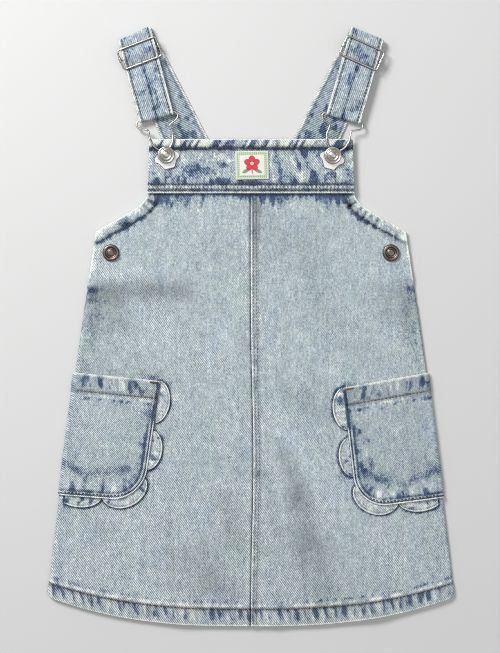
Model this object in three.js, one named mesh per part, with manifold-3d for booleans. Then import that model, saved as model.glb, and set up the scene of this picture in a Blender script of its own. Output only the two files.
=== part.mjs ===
// A toddler's denim overall skirt, laid flat on its back, with its straps folded over at the shoulders.
// Millimetres. +X is the right-hand side of the front as it is seen, +Y runs from the hem to the straps and
// +Z is up, away from the surface. The origin is on that surface, under the middle of the garment.
import * as THREE from "three";
import { mergeVertices } from "three/addons/utils/BufferGeometryUtils.js";
import Module from "manifold-3d";

const wasm = await Module();
wasm.setup();

// ---- Driving sizes ----------------------------------------------------------------------------------------

const GAP = 0.3; // kept between two pieces that touch
const DENIM = 1.2; // one layer of cloth
const BIB_CLOTH = 1.8; // the bib's outer cloth and what is turned in behind it
const WIRE = 0.75; // radius of the buckle wire

const HEM = {
  centreY: -249.1, cornerX: 169.2, cornerY: -226, cornerRadius: 7, depth: 13, rise: 0.6, curve: 2.6,
};
const ARMHOLE = {
  cornerX: 128.8, cornerY: 78.6, topX: 85.6, topY: 112, sharpness: 1.15, depth: 8.5, rise: 0.5,
};
const SIDE = { bow: 1.8, roll: 1.35, openingEnd: 28, openingStart: 44 };
const BIB = {
  bottomY: 110.4, topY: 155.6, bottomHalf: 86, topHalf: 84.4, hemDepth: 7.6, seamDepth: 9, rise: 0.4,
};
const CENTRE_SEAM = { width: 10.4, rise: 0.7 };
const UNDERLAP = 7; // how far the front panels run up behind the bib
const BACK = { topY: 134, topX: 62, inset: 0.3, cornerInset: 2.5, hemInset: 0.8 };

const BACK_FACE = DENIM;
const FRONT_MID = BACK_FACE + GAP + DENIM / 2;
const BIB_MID = BACK_FACE + GAP + DENIM + GAP + BIB_CLOTH / 2;
const BIB_FACE = BIB_MID + BIB_CLOTH / 2;

// Soft folds of the front: a ridge of the given height and half-width along a line from one end to the other.
const FOLDS = [
  { fromX: 20, fromY: -60, toX: 62, toY: -146, height: 2.5, half: 12 },
  { fromX: 6, fromY: -130, toX: 22, toY: -262, height: 1.5, half: 9 },
  { fromX: 92, fromY: -182, toX: 108, toY: -266, height: 1.6, half: 15 },
  { fromX: -20, fromY: -130, toX: -62, toY: -254, height: 1.6, half: 13 },
  { fromX: -132, fromY: 42, toX: -70, toY: 36, height: 2.0, half: 8 },
  { fromX: -134, fromY: 6, toX: -104, toY: -12, height: 1.2, half: 9 },
  { fromX: 134, fromY: 34, toX: 92, toY: 42, height: 1.8, half: 8 },
  { fromX: 10, fromY: 26, toX: 54, toY: -30, height: 1.2, half: 10 },
  { fromX: -62, fromY: 84, toX: -54, toY: -40, height: 1.1, half: 16 },
];

// The two sides hang a little differently. Leans are of the strap's width, in degrees. Slopes are rises of an
// edge for each millimetre outwards.
const SIDES = [
  {
    name: "left", sign: -1, buttonX: 70.2, buttonY: 142, foldLean: 24.4, sliderLean: 21,
    pocket: { topX: 75, topY: -45.2, topSlope: 0.1, bottomX: 90, bottomY: -143, bottomSlope: 0.075 },
  },
  {
    name: "right", sign: 1, buttonX: 67.8, buttonY: 141.6, foldLean: 22.2, sliderLean: 24.5,
    pocket: { topX: 76.2, topY: -50.8, topSlope: 0.18, bottomX: 88, bottomY: -148, bottomSlope: 0.13 },
  },
];

const POCKET = { cornerRadius: 26, hemDepth: 16.5, hemRise: 0.5, fullness: 1.2 };

// Half-round flaps along a pocket's inner and lower edges, by where each starts along that edge.
const SCALLOPS = [
  { start: 0, length: 35.5, depth: 11.4 },
  { start: 41.5, length: 33, depth: 11 },
  { start: 82, length: 42, depth: 10 },
  { start: 124.5, length: 37, depth: 10 },
];
const SCALLOP = { thickness: 1.1, tuck: 4, behind: 0.8 };

const STRAP = {
  cloth: 1.2, halfWidth: 14.7, backHalfWidth: 18.6, backLean: 25.5,
  foldX: 96.7, foldY: 242.9, backLength: 127.5, leaveBack: 112, reachFloor: 108, settle: 45,
};
const SLIDER = {
  fromFold: 17, halfLength: 16.9, halfHeight: 8.4, cornerRadius: 2.4, boss: 1.25, bossLength: 4.6,
};
const BUTTON = { radius: 7.1, stem: 2.5, tack: 3.8 };
const SIDE_BUTTON = { x: 116.2, y: 61.2, radius: 7, stem: 2.2 };
const CLIP = { length: 33.5, bend: 1.6, plate: 0.8, earHole: 0.6, earOut: 8.9, earUp: -2.3 };
const LABEL = { width: 27.5, height: 23.6, x: 0.9, y: 133.6, thickness: 0.8, turn: 1.2 };

const RETURN_MID = STRAP.cloth + GAP + STRAP.cloth / 2; // the strap's return layer, on its back layer
const WRAP = WIRE + GAP + STRAP.cloth / 2; // radius of the strap's middle round a buckle bar
const BAR_HEIGHT = RETURN_MID + WRAP;
const STRAP_FRONT = BAR_HEIGHT + WRAP;
const OVER_BAR = STRAP_FRONT + STRAP.cloth + GAP;
const UNDER_BAR = STRAP_FRONT - 0.8;
const FRAME_HEIGHT = UNDER_BAR + STRAP.cloth / 2 + GAP + WIRE;
const PLATE_BASE = BIB_FACE + BIB.rise + GAP;
const CLIP_HEIGHT = PLATE_BASE + CLIP.plate + GAP + WIRE;
const BUTTON_BASE = CLIP_HEIGHT + WIRE + GAP;

// ---- Small helpers ----------------------------------------------------------------------------------------

const radians = THREE.MathUtils.degToRad;
const lerp = THREE.MathUtils.lerp;
const clamp = THREE.MathUtils.clamp;
const step = THREE.MathUtils.smoothstep;
const spread = (from, to, count) => Array.from({ length: count }, (_, i) => lerp(from, to, i / (count - 1)));

// A closed solid through a row of closed rings that all have the same even number of points. The ends of an
// open row are capped by joining each ring point to the one opposite it, as suits a long thin wall section.
function loft(rings, closed = false) {
  const size = rings[0].length;
  const index = [];
  const quad = (a, b, c, d) => index.push(a, b, c, a, c, d);
  const bands = closed ? rings.length : rings.length - 1;
  for (let r = 0; r < bands; r++) {
    const here = r * size;
    const next = ((r + 1) % rings.length) * size;
    for (let i = 0; i < size; i++) {
      const j = (i + 1) % size;
      quad(here + i, here + j, next + j, next + i);
    }
  }
  if (!closed) {
    const last = (rings.length - 1) * size;
    for (let i = 0; i < size / 2 - 1; i++) {
      const across = size - 1 - i;
      quad(across, across - 1, i + 1, i);
      quad(last + i, last + i + 1, last + across - 1, last + across);
    }
  }
  const positions = rings.flat().flatMap((p) => [p.x, p.y, p.z]);
  const geometry = new THREE.BufferGeometry();
  geometry.setAttribute("position", new THREE.Float32BufferAttribute(positions, 3));
  geometry.setIndex(index);
  return facingOut(geometry);
}

// Turns every face of a closed indexed geometry round if the volume inside it comes out negative.
function facingOut(geometry) {
  const place = geometry.attributes.position;
  const index = geometry.index.array;
  const [a, b, c] = [new THREE.Vector3(), new THREE.Vector3(), new THREE.Vector3()];
  let volume = 0;
  for (let i = 0; i < index.length; i += 3) {
    a.fromBufferAttribute(place, index[i]);
    b.fromBufferAttribute(place, index[i + 1]);
    c.fromBufferAttribute(place, index[i + 2]);
    volume += a.dot(b.cross(c));
  }
  if (volume < 0) {
    for (let i = 0; i < index.length; i += 3) [index[i + 1], index[i + 2]] = [index[i + 2], index[i + 1]];
  }
  return geometry;
}

// A wall of cloth from rows that each hold a line of outer points and, below it, a line of inner points.
function wall(rows) {
  return loft(rows.map(({ outer, inner }) => [...outer, ...inner.slice().reverse()]));
}

// Rounds every corner of a line of points, or only the inner ones of an open line, with a three-point bend.
function bent(points, radius, closed = false) {
  return points.flatMap((corner, i) => {
    if (!closed && (i === 0 || i === points.length - 1)) return [corner];
    const before = points[(i + points.length - 1) % points.length].clone().sub(corner);
    const after = points[(i + 1) % points.length].clone().sub(corner);
    const entry = corner.clone().addScaledVector(before, Math.min(radius / before.length(), 0.45));
    const exit = corner.clone().addScaledVector(after, Math.min(radius / after.length(), 0.45));
    return [entry, entry.clone().add(exit).addScaledVector(corner, 2).divideScalar(4), exit];
  });
}

// A round wire through the points. The upright direction is one that the wire never runs along.
function wire(points, upright, closed = false) {
  const sides = 6;
  const rings = points.map((point, i) => {
    const before = points[closed ? (i + points.length - 1) % points.length : Math.max(i - 1, 0)];
    const after = points[closed ? (i + 1) % points.length : Math.min(i + 1, points.length - 1)];
    const along = after.clone().sub(before).normalize();
    const up = upright.clone().addScaledVector(along, -upright.dot(along)).normalize();
    const aside = along.clone().cross(up);
    return Array.from({ length: sides }, (_, k) => {
      const turn = (2 * Math.PI * k) / sides;
      const out = up.clone().multiplyScalar(Math.cos(turn)).addScaledVector(aside, Math.sin(turn));
      return point.clone().addScaledVector(out, WIRE);
    });
  });
  return loft(rings, closed);
}

function toManifold(geometry) {
  const bare = geometry.clone();
  bare.deleteAttribute("normal");
  bare.deleteAttribute("uv");
  const merged = mergeVertices(bare, 1e-4);
  return new wasm.Manifold(
    new wasm.Mesh({
      numProp: 3,
      vertProperties: new Float32Array(merged.attributes.position.array),
      triVerts: new Uint32Array(merged.index.array),
    }),
  );
}

// One geometry from several that overlap, less those in the second list.
function join(geometries, cuts = []) {
  let solid = geometries.map(toManifold).reduce((a, b) => a.add(b));
  for (const cut of cuts) solid = solid.subtract(toManifold(cut));
  const mesh = solid.getMesh();
  const geometry = new THREE.BufferGeometry();
  geometry.setAttribute("position", new THREE.Float32BufferAttribute(mesh.vertProperties, 3));
  geometry.setIndex(Array.from(mesh.triVerts));
  return geometry;
}

// An upright round bar for cutting a hole, tall enough to pass through every layer.
function drill(x, y, radius) {
  return new THREE.CylinderGeometry(radius, radius, 40, 16).rotateX(Math.PI / 2).translate(x, y, 0);
}

// A turned shape about an upright axis, from the radius and height of each point of its profile.
function turned(profile, x, y, sides = 24) {
  const points = profile.map(([radius, height]) => new THREE.Vector2(radius, height));
  return new THREE.LatheGeometry(points, sides).rotateX(Math.PI / 2).translate(x, y, 0);
}

const denim = new THREE.MeshStandardMaterial({ color: 0xaebbc1, roughness: 0.95, metalness: 0 });
const wornDenim = new THREE.MeshStandardMaterial({ color: 0xbcc6c9, roughness: 0.95, metalness: 0 });
const steel = new THREE.MeshStandardMaterial({ color: 0x9b9793, roughness: 0.3, metalness: 1 });
const darkSteel = new THREE.MeshStandardMaterial({ color: 0x6b6560, roughness: 0.4, metalness: 1 });
const wovenLabel = new THREE.MeshStandardMaterial({ color: 0xe6ecd9, roughness: 0.8, metalness: 0 });

const skirt = new THREE.Group();
function piece(name, geometry, material) {
  const mesh = new THREE.Mesh(geometry, material);
  mesh.name = name;
  skirt.add(mesh);
}

// ---- Outline and lie of the front -------------------------------------------------------------------------

// Half of the front's width at a height: the flared side up to the armhole corner, then the scooped armhole.
function halfWidth(y) {
  if (y <= ARMHOLE.cornerY) {
    const down = (ARMHOLE.cornerY - y) / (ARMHOLE.cornerY - HEM.cornerY);
    const flare = lerp(ARMHOLE.cornerX, HEM.cornerX, down) + SIDE.bow * Math.sin(Math.PI * down);
    const fromCorner = clamp(HEM.cornerRadius - (y - HEM.cornerY), 0, HEM.cornerRadius);
    return flare - HEM.cornerRadius + Math.sqrt(HEM.cornerRadius ** 2 - fromCorner ** 2);
  }
  const up = Math.min((y - ARMHOLE.cornerY) / (ARMHOLE.topY - ARMHOLE.cornerY), 1);
  return lerp(ARMHOLE.cornerX, ARMHOLE.topX, Math.sin((up * Math.PI) / 2) ** ARMHOLE.sharpness);
}

const ARMHOLE_LINE = spread(ARMHOLE.cornerY, ARMHOLE.topY, 30).map((y) => new THREE.Vector2(halfWidth(y), y));

function distanceToArmhole(x, y) {
  const point = new THREE.Vector2(Math.abs(x), y);
  let nearest = Infinity;
  for (let i = 1; i < ARMHOLE_LINE.length; i++) {
    const from = ARMHOLE_LINE[i - 1];
    const along = ARMHOLE_LINE[i].clone().sub(from);
    const share = clamp(point.clone().sub(from).dot(along) / along.lengthSq(), 0, 1);
    nearest = Math.min(nearest, point.distanceTo(from.clone().addScaledVector(along, share)));
  }
  return nearest;
}

// Height of the soft folds, fading out at the sides and below the bib, where the cloth is held down.
function foldHeight(x, y) {
  let height = 0;
  for (const fold of FOLDS) {
    const [dx, dy] = [fold.toX - fold.fromX, fold.toY - fold.fromY];
    const along = clamp(((x - fold.fromX) * dx + (y - fold.fromY) * dy) / (dx * dx + dy * dy), 0, 1);
    const away = Math.hypot(x - fold.fromX - along * dx, y - fold.fromY - along * dy);
    const nearness = Math.exp(-((away / fold.half) ** 2));
    height += fold.height * nearness * Math.sin(Math.PI * lerp(0.12, 0.88, along));
  }
  return height * step(halfWidth(Math.max(y, 0)) - Math.abs(x), 1, 14) * (1 - step(y, 70, 104));
}

// How the cloth lies across the front: flat, then rolled down towards the side seam on the surface. The roll
// is whole below the side opening, and there is none along the opening and the armhole.
function across(y) {
  const roll = 1 - step(y, SIDE.openingEnd, SIDE.openingStart);
  const flat = halfWidth(y) - (DENIM / 2) * roll - SIDE.roll * Math.sin((roll * Math.PI) / 2);
  const arc = (SIDE.roll * roll * Math.PI) / 2;
  const drop = (FRONT_MID - SIDE.roll - 0.1) * roll;
  return { flat, arc, end: flat + arc + drop };
}

// The point s across the cloth from the centre line at height y, moved out of its middle surface by lift.
// sideY is the height at which the side of this row of cloth lies.
function frontPoint(s, y, lift, sideY = y) {
  const { flat, arc } = across(sideY);
  const side = Math.sign(s) || 1;
  const past = Math.abs(s) - flat;
  if (past <= 0 || arc === 0) {
    const e = 0.5;
    const slopeX = (foldHeight(s + e, y) - foldHeight(s - e, y)) / (2 * e);
    const slopeY = (foldHeight(s, y + e) - foldHeight(s, y - e)) / (2 * e);
    const normal = new THREE.Vector3(-slopeX, -slopeY, 1).normalize();
    return new THREE.Vector3(s, y, FRONT_MID + foldHeight(s, y)).addScaledVector(normal, lift);
  }
  const turn = Math.min(past, arc) / SIDE.roll;
  const straight = Math.max(past - arc, 0);
  const x = flat + SIDE.roll * Math.sin(turn) + straight * Math.cos(turn);
  const z = FRONT_MID - SIDE.roll * (1 - Math.cos(turn)) - straight * Math.sin(turn);
  const normal = new THREE.Vector3(Math.sin(turn) * side, 0, Math.cos(turn));
  return new THREE.Vector3(x * side, y, z).addScaledVector(normal, lift);
}

// Rows follow the curved hem at the bottom and straighten out towards the armholes.
const STRAIGHT_Y = 60;
function sagged(sideY, share) {
  const fade = clamp((STRAIGHT_Y - sideY) / (STRAIGHT_Y - HEM.cornerY), 0, 1);
  return sideY - (HEM.cornerY - HEM.centreY) * (1 - share ** HEM.curve) * fade;
}

// ---- Front panels -----------------------------------------------------------------------------------------

// Height of the turned hem, the turned armhole and the lapped centre seam above the plain cloth.
function frontRise(s, y, aboveHem, seam) {
  const hem = HEM.rise * (1 - step(aboveHem, HEM.depth - 1, HEM.depth));
  const armhole = ARMHOLE.rise * (1 - step(distanceToArmhole(s, y), ARMHOLE.depth - 1, ARMHOLE.depth));
  const lap = seam ? CENTRE_SEAM.rise * (1 - step(Math.abs(s), CENTRE_SEAM.width - 1, CENTRE_SEAM.width)) : 0;
  return (Math.max(hem, armhole) + lap) * (1 - step(y, BIB.bottomY - 3, BIB.bottomY - 1.5));
}

function frontPanel({ name, sign }, seam) {
  const nearSeam = seam ? [GAP / 2, 0.9, CENTRE_SEAM.width - 1, CENTRE_SEAM.width + 0.2] : [GAP / 2, 5, 11];
  const inFromEdge = [ARMHOLE.depth + 0.6, ARMHOLE.depth - 0.8, 4, 1.5, 0];
  const sideHeights = [
    ...[0, 1, 3, 7, HEM.depth - 1.2, HEM.depth + 0.3].map((above) => HEM.cornerY + above),
    ...spread(-188, 0, 9), 16, SIDE.openingEnd, 33, 39, SIDE.openingStart, 56, 68, 71,
    ...spread(ARMHOLE.cornerY, 106, 9), BIB.bottomY - 3, BIB.bottomY - 1, BIB.bottomY + UNDERLAP,
  ];
  const rows = sideHeights.map((sideY) => {
    const { flat, arc, end } = across(sideY);
    const scoop = sideY >= ARMHOLE.cornerY ? Math.abs(halfWidth(sideY + 1) - halfWidth(sideY)) : 0;
    const openEdge = inFromEdge.map((inwards) => end - inwards * Math.min(Math.hypot(1, scoop), 4));
    const rolledEdge = [flat - 4, flat, flat + arc / 3, flat + (2 * arc) / 3, end];
    const rollShare = arc / ((SIDE.roll * Math.PI) / 2);
    const edge = openEdge.map((s, i) => lerp(s, rolledEdge[i], rollShare));
    const middle = spread(nearSeam.at(-1), edge[0], 11).slice(1, -1);
    const columns = [...nearSeam, ...middle, ...edge];
    const line = (lift, raised) =>
      columns.map((s) => {
        const y = sagged(sideY, s / end);
        const rise = raised ? frontRise(s, y, sideY - HEM.cornerY, seam) : 0;
        return frontPoint(s * sign, y, lift + rise, sideY);
      });
    return { outer: line(DENIM / 2, true), inner: line(-DENIM / 2, false) };
  });
  const buttonhole = drill(sign * SIDE_BUTTON.x, SIDE_BUTTON.y, SIDE_BUTTON.stem + GAP);
  piece(`front_${name}`, join([wall(rows)], [buttonhole]), denim);
}

// ---- Back panels ------------------------------------------------------------------------------------------

// Flat on the surface, inside the rolled sides of the front, with the strap ends lapped on at the top.
function backPanel({ name, sign }) {
  const sideInset = DENIM + GAP;
  const heights = [
    ...spread(HEM.cornerY + HEM.cornerRadius, ARMHOLE.cornerY, 16), ...spread(84, ARMHOLE.topY, 6), BACK.topY,
  ];
  const edge = heights.map((y) => {
    const openShare = step(y, SIDE.openingStart, SIDE.openingStart + 12);
    const cornerShare = 1 - step(y, HEM.cornerY, HEM.cornerY + 3 * HEM.cornerRadius);
    const inset = lerp(sideInset, BACK.inset, openShare) + BACK.cornerInset * cornerShare;
    return y === BACK.topY ? new THREE.Vector2(BACK.topX, y) : new THREE.Vector2(halfWidth(y) - inset, y);
  });
  const hem = spread(0, 1, 12).map((share) => {
    const x = lerp(GAP / 2, edge[0].x - HEM.cornerRadius, share);
    return new THREE.Vector2(x, sagged(HEM.cornerY, x / HEM.cornerX) + BACK.hemInset);
  });
  const outline = [...hem, ...edge, new THREE.Vector2(GAP / 2, BACK.topY)].map((p) => p.setX(p.x * sign));
  const cloth = new THREE.ExtrudeGeometry(new THREE.Shape(outline), { depth: DENIM, bevelEnabled: false });
  const tackHole = drill(sign * SIDE_BUTTON.x, SIDE_BUTTON.y, SIDE_BUTTON.stem + GAP);
  piece(`back_${name}`, join([cloth], [tackHole]), denim);
}

// ---- Bib --------------------------------------------------------------------------------------------------

function bib() {
  const heights = [
    BIB.bottomY, BIB.bottomY + 1, BIB.bottomY + BIB.seamDepth - 1, BIB.bottomY + BIB.seamDepth, 128, 138,
    BIB.topY - BIB.hemDepth, BIB.topY - BIB.hemDepth + 1, BIB.topY - 1, BIB.topY,
  ];
  const rows = heights.map((y) => {
    const up = (y - BIB.bottomY) / (BIB.topY - BIB.bottomY);
    const half = lerp(BIB.bottomHalf, BIB.topHalf, up);
    const [low, high] = [y - BIB.bottomY, BIB.topY - y];
    const seam = 1 - step(low, BIB.seamDepth - 1, BIB.seamDepth);
    const hem = 1 - step(high, BIB.hemDepth - 1, BIB.hemDepth);
    const softened = Math.min(low, high) === 0 ? 0.5 : 1;
    const columns = [-half, -half + 1, ...spread(8 - half, half - 8, 9), half - 1, half];
    const line = (lift, rise) =>
      columns.map((x) => {
        const edgeShare = Math.abs(x) === half ? 0.5 : 1;
        const skin = lift * (lift > 0 ? edgeShare : 1);
        return new THREE.Vector3(x, y, BIB_MID + skin + rise * softened * edgeShare);
      });
    return { outer: line(BIB_CLOTH / 2, BIB.rise * Math.max(seam, hem)), inner: line(-BIB_CLOTH / 2, 0) };
  });
  const holes = SIDES.map(({ sign, buttonX, buttonY }) => drill(sign * buttonX, buttonY, BUTTON.stem + GAP));
  piece("bib", join([wall(rows)], holes), denim);
}

function label() {
  const [halfX, halfY] = [LABEL.width / 2, LABEL.height / 2];
  const shape = new THREE.Shape([
    new THREE.Vector2(-halfX, -halfY), new THREE.Vector2(halfX, -halfY),
    new THREE.Vector2(halfX, halfY), new THREE.Vector2(-halfX, halfY),
  ]);
  const cloth = new THREE.ExtrudeGeometry(shape, { depth: LABEL.thickness, bevelEnabled: false });
  cloth.rotateZ(radians(LABEL.turn)).translate(LABEL.x, LABEL.y, BIB_FACE + GAP);
  piece("label", cloth, wovenLabel);
}

// ---- Pockets and their scallops ---------------------------------------------------------------------------

const SCALLOP_LIFT = DENIM / 2 + GAP + SCALLOP.thickness / 2;
const POCKET_ON_CLOTH = DENIM / 2 + GAP + DENIM / 2;
const POCKET_ON_SCALLOPS = SCALLOP_LIFT + SCALLOP.thickness / 2 + GAP + DENIM / 2;

// Distance of a pocket's inner edge from the garment's centre line, at a share of the way down the pocket.
function pocketInner({ pocket }, down) {
  const above = (1 - down) * (pocket.topY - pocket.bottomY);
  const inCorner = clamp(POCKET.cornerRadius - above, 0, POCKET.cornerRadius);
  const round = POCKET.cornerRadius - Math.sqrt(POCKET.cornerRadius ** 2 - inCorner ** 2);
  return lerp(pocket.topX, pocket.bottomX, down) + round;
}

function pocketY({ pocket }, x, down) {
  const top = pocket.topY + pocket.topSlope * (x - pocket.topX);
  const bottom = pocket.bottomY + pocket.bottomSlope * (x - pocket.bottomX - POCKET.cornerRadius);
  return lerp(top, bottom, down);
}

function pocketCloth(side) {
  const height = side.pocket.topY - side.pocket.bottomY;
  const cornerTurns = spread(0, 90, 9).map((angle) => Math.sin(radians(angle)));
  const shares = [
    0, 1 / height, (POCKET.hemDepth - 0.6) / height, (POCKET.hemDepth + 0.6) / height, 0.3, 0.42, 0.55,
    ...cornerTurns.map((sine) => 1 - (POCKET.cornerRadius * (1 - sine)) / height),
  ];
  const rows = shares.map((down) => {
    const inner = pocketInner(side, down);
    const sideY = pocketY(side, halfWidth(-90), down);
    const { flat, arc, end } = across(sideY);
    const columns = [
      inner, inner + 1, ...spread(inner + 5.5, flat - 5, 9), flat - 2.5, flat,
      flat + arc / 3, flat + (2 * arc) / 3, flat + arc, end,
    ];
    const line = (half, raised) =>
      columns.map((s) => {
        const fromEdge = Math.min(s - inner, (1 - down) * height);
        const fromSide = flat - s;
        const onScallops = (1 - step(fromEdge, 5, 17)) * step(fromSide, 0, 3);
        const full = Math.sin(Math.PI * down) * step(fromSide, 4, 24) * step(fromEdge, 6, 24);
        const lift = lerp(POCKET_ON_CLOTH, POCKET_ON_SCALLOPS, onScallops) + POCKET.fullness * full;
        const hem = raised && down * height < POCKET.hemDepth ? POCKET.hemRise * step(s - inner, -1, 1) : 0;
        return frontPoint(s * side.sign, pocketY(side, s, down), lift + half + hem);
      });
    return { outer: line(DENIM / 2, true), inner: line(-DENIM / 2, false) };
  });
  piece(`pocket_${side.name}`, wall(rows), denim);
}

// One strip along the pocket's edge, tucked under it, that swings out into half-round flaps.
function scallopStrip(side) {
  const inner = spread(0, 1, 60).map((down) => {
    const x = pocketInner(side, down);
    return new THREE.Vector2(x, pocketY(side, x, down));
  });
  const lastX = across(side.pocket.bottomY).flat - 3.4;
  const lower = spread(inner.at(-1).x, lastX, 12).slice(1)
    .map((x) => new THREE.Vector2(x, pocketY(side, x, 1)));
  const edge = new THREE.SplineCurve([...inner, ...lower]);
  const length = edge.getLength();
  const stations = SCALLOPS.flatMap(({ start, length: flap, depth }) =>
    spread(0, 1, 11).map((share) => ({
      at: Math.min((start + share * flap) / length, 1),
      reach: depth * Math.sqrt(Math.max(1 - (2 * share - 1) ** 2, 0)) - SCALLOP.behind,
    })),
  );
  const rows = stations.map(({ at, reach }) => {
    const point = edge.getPointAt(at);
    const tangent = edge.getTangentAt(at);
    const out = new THREE.Vector2(tangent.y, -tangent.x);
    const offsets = [-SCALLOP.tuck, lerp(-SCALLOP.tuck, reach, 0.5), reach - 0.25, reach];
    const line = (half) =>
      offsets.map((offset, i) => {
        const place = point.clone().addScaledVector(out, offset);
        const edgeShare = i === offsets.length - 1 && half > 0 ? 0.2 : 1;
        return frontPoint(place.x * side.sign, place.y, SCALLOP_LIFT + half * edgeShare);
      });
    return { outer: line(SCALLOP.thickness / 2), inner: line(-SCALLOP.thickness / 2) };
  });
  piece(`scallops_${side.name}`, wall(rows), wornDenim);
}

// ---- Straps -----------------------------------------------------------------------------------------------

// Strap routes are drawn on a plane of distance down from the shoulder fold and height above the surface, and
// then turned to the way that each layer leans. A turn is an arc from one angle to another about a bar.
const arc = (centre, height, radius, from, to, count) =>
  spread(radians(from), radians(to), count).map((turn) => ({
    down: centre + radius * Math.cos(turn),
    height: height + radius * Math.sin(turn),
  }));

// A strap's front layer runs straight from the middle of the shoulder fold to its button.
function strapLine({ buttonX, buttonY }) {
  const line = new THREE.Vector2(STRAP.foldX - buttonX, STRAP.foldY - buttonY);
  return { length: line.length(), lean: Math.atan2(line.x, line.y) };
}

// The lean of the strap's width at a distance down from the fold, in radians. It changes from the fold's to the
// slider's, and then to that of the line that the layer runs along.
function widthLean({ foldLean, sliderLean }, lineLean, down) {
  const toSlider = step(down, 0, SLIDER.fromFold);
  const toLine = step(down, SLIDER.fromFold, STRAP.settle);
  return lerp(lerp(radians(foldLean), radians(sliderLean), toSlider), lineLean, toLine);
}

function strap(side) {
  const low = STRAP.cloth / 2;
  const foldRadius = (STRAP_FRONT - low) / 2;
  const front = strapLine(side);
  const loopAt = front.length - CLIP.length;
  const behind = [
    { down: STRAP.backLength, height: RETURN_MID }, { down: STRAP.leaveBack, height: RETURN_MID },
    { down: STRAP.reachFloor, height: low }, { down: 70, height: low }, { down: 35, height: low },
    ...arc(foldRadius, low + foldRadius, foldRadius, 270, 180, 5),
  ];
  const overSlider = spread(-14, 14, 15).map((along) => {
    const near = 1 - step(Math.abs(along), 0, SLIDER.halfHeight);
    const outside = step(Math.abs(along), SLIDER.halfHeight, 14);
    return {
      down: SLIDER.fromFold + along,
      height: lerp(lerp(UNDER_BAR, OVER_BAR, near), STRAP_FRONT, outside),
    };
  });
  const inFront = [
    ...arc(foldRadius, low + foldRadius, foldRadius, 157.5, 112.5, 3),
    ...overSlider.slice(1),
    { down: 45, height: STRAP_FRONT + 0.2 }, { down: 56, height: STRAP_FRONT },
    ...arc(loopAt, BAR_HEIGHT, WRAP, 90, -90, 9),
    { down: 50, height: RETURN_MID }, { down: 30, height: RETURN_MID },
    ...arc(SLIDER.fromFold, BAR_HEIGHT, WRAP, 270, 100, 9),
  ];
  const route = [
    ...behind.map((point) => ({ ...point, back: true })),
    ...inFront.map((point) => ({ ...point, back: false })),
  ];
  const rings = route.map((point, i) => {
    const before = route[Math.max(i - 1, 0)];
    const after = route[Math.min(i + 1, route.length - 1)];
    const along = new THREE.Vector2(after.down - before.down, after.height - before.height);
    if (before.back !== after.back) along.set(0, 1);
    along.normalize();
    const lean = point.back ? radians(STRAP.backLean) : front.lean;
    const wide = widthLean(side, lean, point.down);
    const widening = point.back ? clamp(point.down / STRAP.backLength, 0, 1) : 0;
    const half = lerp(STRAP.halfWidth, STRAP.backHalfWidth, widening);
    const corner = (across, thick) => {
      const down = point.down - along.y * thick;
      return new THREE.Vector3(
        side.sign * (STRAP.foldX - down * Math.sin(lean) - across * half * Math.cos(wide)),
        STRAP.foldY - down * Math.cos(lean) + across * half * Math.sin(wide),
        point.height + along.x * thick,
      );
    };
    const edges = [-1, -0.94, 0.94, 1];
    const face = (thick) => edges.map((a) => corner(a, thick * (Math.abs(a) === 1 ? 0.7 : 1)));
    return [...face(low), ...face(-low).reverse()];
  });
  piece(`strap_${side.name}`, loft(rings), denim);
}

// ---- Buckles and buttons ----------------------------------------------------------------------------------

// Puts a shape drawn upright about the middle of a strap in its place, at a distance down from the fold.
function onStrap(geometry, side, down, lean) {
  const line = strapLine(side);
  const x = side.sign * (STRAP.foldX - down * Math.sin(line.lean));
  return geometry.rotateZ(-side.sign * lean).translate(x, STRAP.foldY - down * Math.cos(line.lean), 0);
}

// A wire frame on top of the strap, with its middle bar let down for the strap's end to wrap round.
function slider(side) {
  const { halfLength, halfHeight, cornerRadius, boss, bossLength } = SLIDER;
  const corners = [[1, 1], [-1, 1], [-1, -1], [1, -1]].map(
    ([x, y]) => new THREE.Vector3(x * halfLength, y * halfHeight, FRAME_HEIGHT),
  );
  const middleBar = [
    new THREE.Vector3(-halfLength, 0, FRAME_HEIGHT), new THREE.Vector3(-halfLength, 0, BAR_HEIGHT),
    new THREE.Vector3(halfLength, 0, BAR_HEIGHT), new THREE.Vector3(halfLength, 0, FRAME_HEIGHT),
  ];
  const bosses = [-1, 1].map((end) =>
    new THREE.CylinderGeometry(boss, boss, bossLength, 8).translate(end * halfLength, 0, FRAME_HEIGHT),
  );
  const geometry = join([
    wire(bent(corners, cornerRadius, true), new THREE.Vector3(0, 0, 1), true),
    wire(bent(middleBar, 1), new THREE.Vector3(0, 1, 0)),
    ...bosses,
  ]);
  piece(`slider_${side.name}`, onStrap(geometry, side, SLIDER.fromFold, radians(side.sliderLean)), steel);
}

// The clip's wire, by its distance from the middle, its distance above the button and its height.
const CLIP_BENDS = [
  { out: 16, up: CLIP.length, height: BAR_HEIGHT },
  { out: 18, up: 30, height: BAR_HEIGHT + 0.4 },
  { out: 16, up: 26.6, height: BAR_HEIGHT + 1.1 },
  { out: 9, up: 24, height: BAR_HEIGHT + 1.9 },
  { out: 9.9, up: 15, height: CLIP_HEIGHT - 0.7 },
  { out: 7.8, up: 8.8, height: CLIP_HEIGHT },
  { out: 3.8, up: 4.6, height: CLIP_HEIGHT },
  { out: 3.8, up: -2.4, height: CLIP_HEIGHT },
  { out: 1.6, up: -4, height: CLIP_HEIGHT },
];

// A plate under the button, with an eared middle and a narrow foot, by half its width at each height.
const PLATE_OUTLINE = [
  { half: 4, up: -11.5 }, { half: 7.4, up: -5.6 }, { half: 10.3, up: -3.8 }, { half: 10.3, up: -0.8 },
  { half: 7.4, up: 1.6 }, { half: 5, up: 5.6 },
];

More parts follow.
